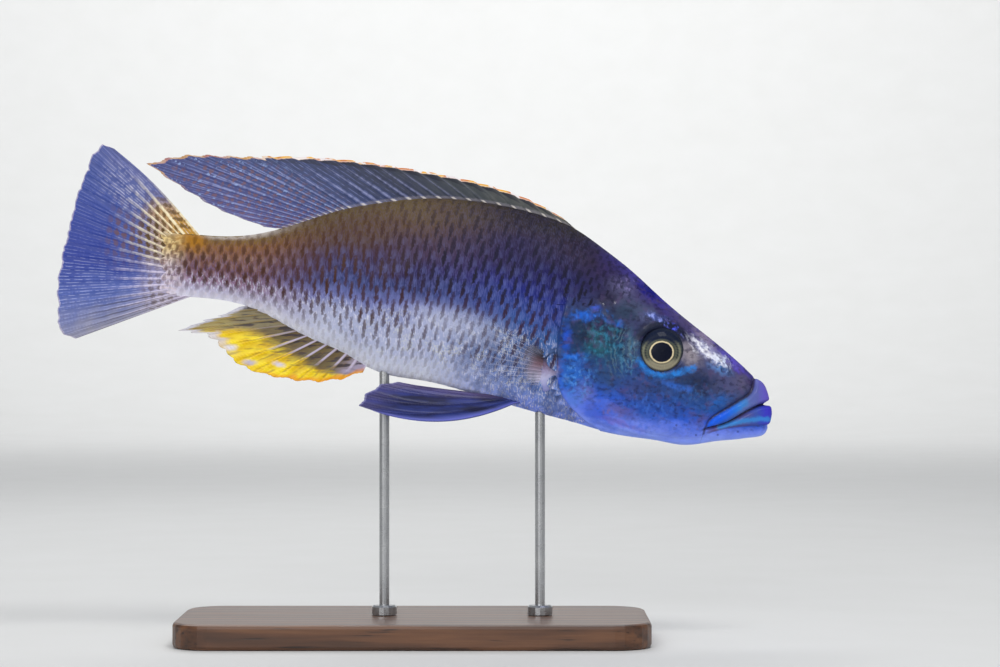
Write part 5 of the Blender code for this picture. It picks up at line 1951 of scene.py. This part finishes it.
@dataclass(frozen=True)
class CaudalFilm(FinFilm):
    """Blue and lavender with yellow at the upper root and brown spots between rays."""

    def colour(self, paint: Paint) -> Tint:
        """The colour from the upper edge to the lower one.

        Args:
            paint: the material.

        Returns:
            The colour.
        """
        along, place, out, ray, edge, reach = paint.reads("along", "place", "out", "ray", "edge", "reach")
        cloud = paint.noise(5)
        fine = paint.noise(0.9)
        coat = Coat(paint, paint.ramp(
            along + (cloud - 0.5) * 0.2, (0, 100, 106, 160), (0.18, 70, 86, 152), (0.42, 46, 68, 148),
            (0.60, 34, 56, 144), (0.78, 84, 102, 172), (1, 154, 152, 168),
        ))
        deep = out.step(0.35, 0.85) * along.band(0.48, 0.42)
        coat.lay(deep * 0.5, (28, 48, 140))
        hair = (place * 4 + (cloud - 0.5) * 0.6).repeat().step(0.30, 0.46)
        lit = paint.noise(1.8, detail=4).step(0.38, 0.60)
        shown = 0.15 + 0.45 * along.band(0.74, 0.26)
        coat.lay(hair * lit * shown, (176, 182, 226))
        lobe = along.band(0.14, 0.20) * out.band(0.56, 0.40) * (0.2 + 0.8 * hair) * lit
        coat.lay(lobe * 0.85, (196, 194, 216))
        root = (out + (cloud - 0.5) * 0.3).step(0.46, 0.06)
        low = along.step(0.45, 0.62)
        skin = paint.mix(low, (188, 160, 118), (188, 176, 198))
        coat.lay(root * 0.75, skin)
        gold = (out + (cloud - 0.5) * 0.3).step(0.42, 0.04) * along.step(0.50, 0.22)
        coat.lay(gold * 0.95, (188, 138, 34))
        coat.lay(hair * root * lit * 0.6, (226, 214, 206))
        rays = (ray + (fine - 0.5) * 0.5).step(0.05, 0.6)
        cream = paint.mix(low, (244, 232, 196), (214, 204, 226))
        fade = (out + (cloud - 0.5) * 0.3).step(0.66, 0.10)
        coat.lay(rays * fade * (0.55 + 0.4 * lit), cream)
        spots = (place + 0.5).repeat() * 2
        rows = (reach / 2.7 + place * 0.12 + (cloud - 0.5) * 0.5).repeat() * 2
        blot = (spots * spots * 1.2 + rows * rows + (fine - 0.5) * 2).step(0.80, 0.10)
        spread = out.step(0.74, 0.56) * along.band(0.40, 0.26)
        upper = along.step(0.40, 0.25) * out.step(0.50, 0.26) * 0.8
        lower = along.step(0.55, 0.7) * out.step(0.36, 0.24) * 0.6
        brown = paint.mix(out.step(0.3, 0.5), (84, 58, 16), (92, 62, 84))
        coat.lay(blot * (spread + upper + lower) * out.step(0, 0.06), brown)
        stripe = (place * 2 + (cloud - 0.5) * 0.4).repeat().step(0.22, 0.08)
        stripe = stripe * along.step(0.74, 0.86) * out.step(0.9, 0.5)
        coat.lay(stripe * 0.6, (60, 54, 68))
        hem = (edge + (fine - 0.5) * 0.9).step(0.6, 0.15)
        coat.lay(hem * 0.7, (206, 196, 220))
        return coat.colour


@dataclass
class CaudalFin(Fin):
    """The tail fin, whose root wraps round the end of the stalk."""

    top_root: float = -69.0
    lower_root: float = -72.6
    bulge: float = 1.7
    sway: float = 2.2

    def ray_ends(self) -> Tuple[Array, Array]:
        """Where each ray starts and ends.

        Returns:
            The roots round the stalk's end and the tips on the trailing edge.
        """
        trailing = smooth_path((
            (-96.4, 157.6), (-98.6, 159.4), (-101.4, 158.4), (-105, 152), (-109, 141),
            (-111.6, 128.7), (-114, 116), (-114.2, 104.6), (-112.6, 97.4), (-108.4, 96.4),
        ))
        end = np.array(STALK_END)
        inner = self.rays - 2
        top = float(self.shape.back(end)) + 0.3
        low = float(self.shape.belly(end)) - 0.3
        roots = [(self.top_root, 0.0, float(self.shape.back(np.array(self.top_root))) + 0.3)]
        for i in range(inner):
            roots.append((STALK_END - 0.3, 0.0, top + (low - top) * i / (inner - 1)))
        roots.append((self.lower_root, 0.0, float(self.shape.belly(np.array(self.lower_root))) - 0.3))
        ends = trailing(np.arange(self.rays) / (self.rays - 1))
        return np.array(roots), np.stack((ends[:, 0], 0.0 * ends[:, 0], ends[:, 1]), axis=1)

    def bend(self, along: Array, out: Array) -> Array:
        """A wave across and a curve up along the top edge."""
        rise = self.bulge * np.maximum(1.0 - 2.0 * along, 0.0) ** 3 * np.sin(np.pi * out)
        wave = self.sway * np.sin(2.0 * np.pi * along) * out ** 2
        return np.stack((0.0 * wave, wave, rise), axis=-1)


@dataclass(frozen=True)
class PectoralFilm(FinFilm):
    """Clear film with whitish rays and a dark mark at its root."""

    ior: float = 1.38
    specular: float = 0.5
    coat: float = 0.2

    def colour(self, paint: Paint) -> Tint:
        """The colour from the marked root to the clear film.

        Args:
            paint: the material.

        Returns:
            The colour.
        """
        along = paint.read("along")
        root = paint.ramp(
            along, (0, 30, 26, 40), (0.22, 50, 38, 50), (0.42, 132, 102, 116), (0.60, 168, 152, 176),
            (0.78, 206, 200, 224), (1, 186, 186, 222),
        )
        return paint.mix(self.near_root(paint), (160, 164, 192), root)

    def alpha(self, paint: Paint) -> Value:
        """Nearly clear, but for the rays and the root's mark.

        Args:
            paint: the material.

        Returns:
            The alpha.
        """
        along, out, ray = paint.reads("along", "out", "ray")
        shown = 0.08 + 0.42 * out.step(0.75, 0.10)
        ends = along.step(0, 0.12) * along.step(1, 0.88)
        return 0.02 + shown * ray.step(0.3, 0.9) + 0.8 * self.near_root(paint) * ends

    def near_root(self, paint: Paint) -> Value:
        """One at the fin's root and nothing past its first third."""
        return (paint.read("out") + (paint.noise(3) - 0.5) * 0.3).step(0.34, 0.05)


@dataclass
class PectoralFin(Fin):
    """A clear fan behind the gill cover, held out and back."""

    side: float = 1.0
    spread: float = 0.84
    root_sink: float = 1.6
    cup: float = 1.5

    def ray_ends(self) -> Tuple[Array, Array]:
        """Where each ray starts and ends.

        Returns:
            The roots on the flank and the tips of the fan.
        """
        edge = smooth_path(((24, 102.8), (13.1, 104), (10.4, 95), (15.5, 86.6), (27, 81.6)))
        share = np.linspace(0.0, 1.0, self.rays)
        (high_x, high_z), (low_x, low_z) = PECTORAL_ROOT
        x = high_x + (low_x - high_x) * share
        z = high_z + (low_z - high_z) * share
        y = self.shape.flank(x, z) - self.root_sink
        ends = edge(share)
        out = y + self.spread * (x - ends[:, 0])
        roots = np.stack((x, self.side * y, z), axis=1)
        return roots, np.stack((ends[:, 0], self.side * out, ends[:, 1]), axis=1)

    def across(self, roots: Array, tips: Array) -> Array:
        """Straight through the fan at its middle."""
        middle = self.rays // 2
        return unit(np.cross(tips[middle] - roots[middle], roots[0] - roots[-1]))

    def bend(self, along: Array, out: Array) -> Array:
        """The fan is cupped between its outer rays."""
        roots, tips = self.ray_ends()
        depth = self.side * self.cup * np.sin(np.pi * along) * out ** 2
        return self.across(roots, tips) * depth[..., None]


@dataclass(frozen=True)
class PelvicFilm(FinFilm):
    """Blue-violet film with darker rays."""

    clear: float = 0.04
    coat: float = 0.15

    def colour(self, paint: Paint) -> Tint:
        """The colour from the pale leading edge inwards.

        Args:
            paint: the material.

        Returns:
            The colour.
        """
        along, out, ray, edge = paint.reads("along", "out", "ray", "edge")
        streak = paint.noise(4, (0.3, 1, 1.5))
        coat = Coat(paint, paint.mix(streak.step(0.35, 0.65), (8, 14, 56), (36, 50, 122)))
        coat.lay(ray.step(0.3, 0.9) * 0.35, (22, 18, 60))
        coat.lay(along.step(0.16, 0) * 0.7, (112, 120, 216))
        coat.lay(along.step(0.45, 0.9) * 0.55, (96, 82, 132))
        coat.lay(out.step(0.7, 1) * 0.3, (104, 96, 160))
        coat.lay(edge.step(0.8, 0.2) * 0.5, (170, 168, 214))
        return coat.colour


@dataclass
class PelvicFin(Fin):
    """A folded fin under the belly, longest along its leading edge."""

    side: float = 1.0
    sag: float = 4.2

    def ray_ends(self) -> Tuple[Array, Array]:
        """Where each ray starts and ends.

        Returns:
            The roots on the belly and the tips behind.
        """
        edge = smooth_path((
            (-11, 8.4, 73), (-17.9, 8.6, 76.3), (-14.6, 7, 79.6), (-9.5, 5, 82.4),
            (0.5, 3.2, 81.4),
        ))
        share = np.linspace(0.0, 1.0, self.rays)[:, None]
        mirror = np.array([1.0, self.side, 1.0])
        front = np.array([32.2, 4.2, 76.0])
        rear = np.array([25.4, 1.9, 78.2])
        return (front + (rear - front) * share) * mirror, edge(share[:, 0]) * mirror

    def across(self, roots: Array, tips: Array) -> Array:
        """Straight through the fin near its front."""
        return unit(np.cross(tips[1] - roots[1], roots[0] - roots[-1]))

    def bend(self, along: Array, out: Array) -> Array:
        """The front rays sag between root and tip."""
        drop = -self.sag * (1.0 - along) * 4.0 * out * (1.0 - out)
        return np.stack((0.0 * drop, 0.0 * drop, drop), axis=-1)


# Stand, floor, lights and camera.


@dataclass(frozen=True)
class Walnut:
    """The base's finish: oiled walnut with long grain and open pores."""

    def make(self) -> Material:
        """Lay the rings, the fibres and the pores along the board.

        Returns:
            The material.
        """
        paint = Paint("walnut", IOR=1.45, Coat_Roughness=0.25)
        flow = paint.noise(16, (0.12, 1, 1))
        fine = paint.noise(1.1, (0.05, 1, 1))
        _, y, z = paint.axes()
        rings = ((y + z * 0.6) * 0.9 + flow * 16).wave()
        grain = rings * 0.16 + fine * 0.6 + 0.2
        wood = paint.ramp(grain, (0.1, 44, 26, 16), (0.5, 84, 52, 32), (0.9, 122, 80, 50))
        pores = fine.step(0.40, 0.32)
        return paint.finish(
            Base_Color=paint.mix(pores * 0.7, wood, (28, 16, 10)),
            Roughness=0.38 + fine * 0.2,
            Coat_Weight=0.2 + flow * 0.2,
            Normal=paint.relief(fine - pores * 0.4, 0.08, 0.6),
        )


@dataclass(frozen=True)
class TurnedSteel:
    """The rods' finish: bare steel with fine rings and faint smudges."""

    def make(self) -> Material:
        """Turn fine rings round the rods and smudge them.

        Returns:
            The material.
        """
        paint = Paint("turned_steel")
        fine = paint.noise(0.4, (0.15, 0.15, 1), 2)
        smudge = paint.noise(7)
        return paint.finish(
            Base_Color=paint.mix(smudge, (158, 160, 164), (196, 197, 198)),
            Metallic=0.96 + smudge * 0.04,
            Roughness=0.22 + fine * 0.14,
            Normal=paint.relief(fine, 0.02, 0.5),
        )


@dataclass(frozen=True)
class Stand:
    """The base and the rods, whose solids are kept."""

    base: str = "stand_base"
    rods: Tuple[str, str] = ("stand_rod_front", "stand_rod_rear")

    def build(self) -> None:
        """Give the stand's solids their finishes."""
        for name, finish in ((self.base, Walnut()), *((rod, TurnedSteel()) for rod in self.rods)):
            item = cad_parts[name]
            item.data.materials.clear()
            item.data.materials.append(finish.make())
            LOG.info("%s: finished", name)


@dataclass(frozen=True)
class PaleSheet:
    """The floor's finish: a matt and nearly even pale grey."""

    def make(self) -> Material:
        """Grain the sheet very faintly.

        Returns:
            The material.
        """
        paint = Paint("floor")
        grain = paint.noise(40)
        colour = paint.mix(grain, (220, 220, 218), (226, 226, 225))
        return paint.finish(Base_Color=colour, Roughness=0.75 + grain * 0.1)


@dataclass
class Studio:
    """A pale dish-shaped floor, soft lights and the photo's camera."""

    view_middle: Pair = (27.5, 98.1)
    view_width: float = 320.0
    distance: float = 900.0
    floor_flat: float = 1.75
    floor_bend: float = 1.2
    floor_sides: int = 96
    fish: Point = (0.01, 0.0, 0.1)
    sky: Screen = (226, 230, 236)
    sky_strength: float = 0.42

    def build(self) -> None:
        """Make the floor, the lights, the world's light and the camera."""
        self.make_floor()
        self.make_camera()
        self.make_light("key", (0.30, -0.60, 1.05), self.fish, 0.40, 5)
        self.make_light("fill", (-0.25, -1.05, 0.5), self.fish, 0.6, 4.8)
        self.make_light("rim", (-0.1, 0.55, 0.75), self.fish, 0.6, 3)
        self.make_light("rear_wall", (0, 1.75, 1.5), (0, 2.9, 0.5), 1.2, 20)
        self.make_light("front_wall", (0, -1.75, 1.5), (0, -2.9, 0.5), 1.2, 14)
        SCENE.view_settings.view_transform = "Standard"
        world = bpy.data.worlds.new("studio")
        world.use_nodes = True
        sky = world.node_tree.nodes["Background"]
        sky.inputs["Color"].default_value = pigment(*self.sky)
        sky.inputs["Strength"].default_value = self.sky_strength
        SCENE.world = world

    def make_floor(self) -> None:
        """A plain round sheet that curves up at its edge, far behind any view."""
        turn = np.linspace(0.0, math.pi / 2.0, 17)[:, None]
        radius = self.floor_flat + self.floor_bend * np.sin(turn)
        angle = 2.0 * np.pi * np.arange(self.floor_sides)[None, :] / self.floor_sides
        rise = self.floor_bend * (1.0 - np.cos(turn)) + 0.0 * angle
        places = np.stack((radius * np.cos(angle), radius * np.sin(angle), rise), axis=2)
        rings = grid_faces(len(turn), self.floor_sides, looped=True)[:, ::-1]
        disc = np.arange(self.floor_sides)[None, :]
        item = make_piece("floor", places.reshape(-1, 3) / MM, [rings, disc])
        item.data.materials.append(PaleSheet().make())

    def make_light(self, name: str, place: Point, target: Point, size: float, power: float) -> None:
        """A soft square light.

        Args:
            name: the light's name.
            place: where it stands, in metres.
            target: what it faces, in metres.
            size: its width, in metres.
            power: its strength, in watts.
        """
        data = bpy.data.lights.new(name, "AREA")
        data.size = size
        data.energy = power
        item = link(name, data)
        item.location = place
        aim = Vector(target) - Vector(place)
        item.rotation_euler = aim.to_track_quat("-Z", "Y").to_euler()

    def make_camera(self) -> None:
        """The photo's view, square on to the fish's right side."""
        data = bpy.data.cameras.new("camera")
        data.sensor_width = 36.0
        data.lens = data.sensor_width * self.distance / self.view_width
        item = link("camera", data)
        item.location = (self.view_middle[0] * MM, -self.distance * MM, self.view_middle[1] * MM)
        item.rotation_euler = (math.radians(90.0), 0.0, 0.0)
        SCENE.camera = item


def main() -> None:
    """Build the model piece by piece."""
    logging.basicConfig(level=logging.INFO, format="%(name)s %(message)s")
    shape = BodyShape()
    colours = FishColours()
    Studio().build()
    Stand().build()
    Skin(shape, colours).build()
    for side in (1.0, -1.0):
        Eye(side).build()
        Scales(shape, colours, side).build()
    DorsalFin(
        shape, "dorsal_fin", "dorsal_fin_skin", DorsalFilm("dorsal_fin"), 28, notch=1.2, fray=1.6, spines=16
    ).build()
    AnalFin(
        shape, "anal_fin", "anal_fin_skin", AnalFilm("anal_fin"), 13, columns=14,
        notch=0.8, fray=5.0, seed=3,
    ).build()
    CaudalFin(
        shape, "caudal_fin", "caudal_fin_skin", CaudalFilm("caudal_fin"), 17, columns=14, rows=72,
        notch=0.08, fray=0.8,
    ).build()
    for side, hand in ((1.0, "left"), (-1.0, "right")):
        name = f"pectoral_fin_{hand}"
        film = PectoralFilm(name)
        PectoralFin(shape, name, "pectoral_fin_skin", film, 13, ray_half=(0.3, 0.08), side=side).build()
        name = f"pelvic_fin_{hand}"
        PelvicFin(shape, name, "pelvic_fin_skin", PelvicFilm(name), 6, columns=16, side=side).build()


if __name__ == "__main__":
    main()
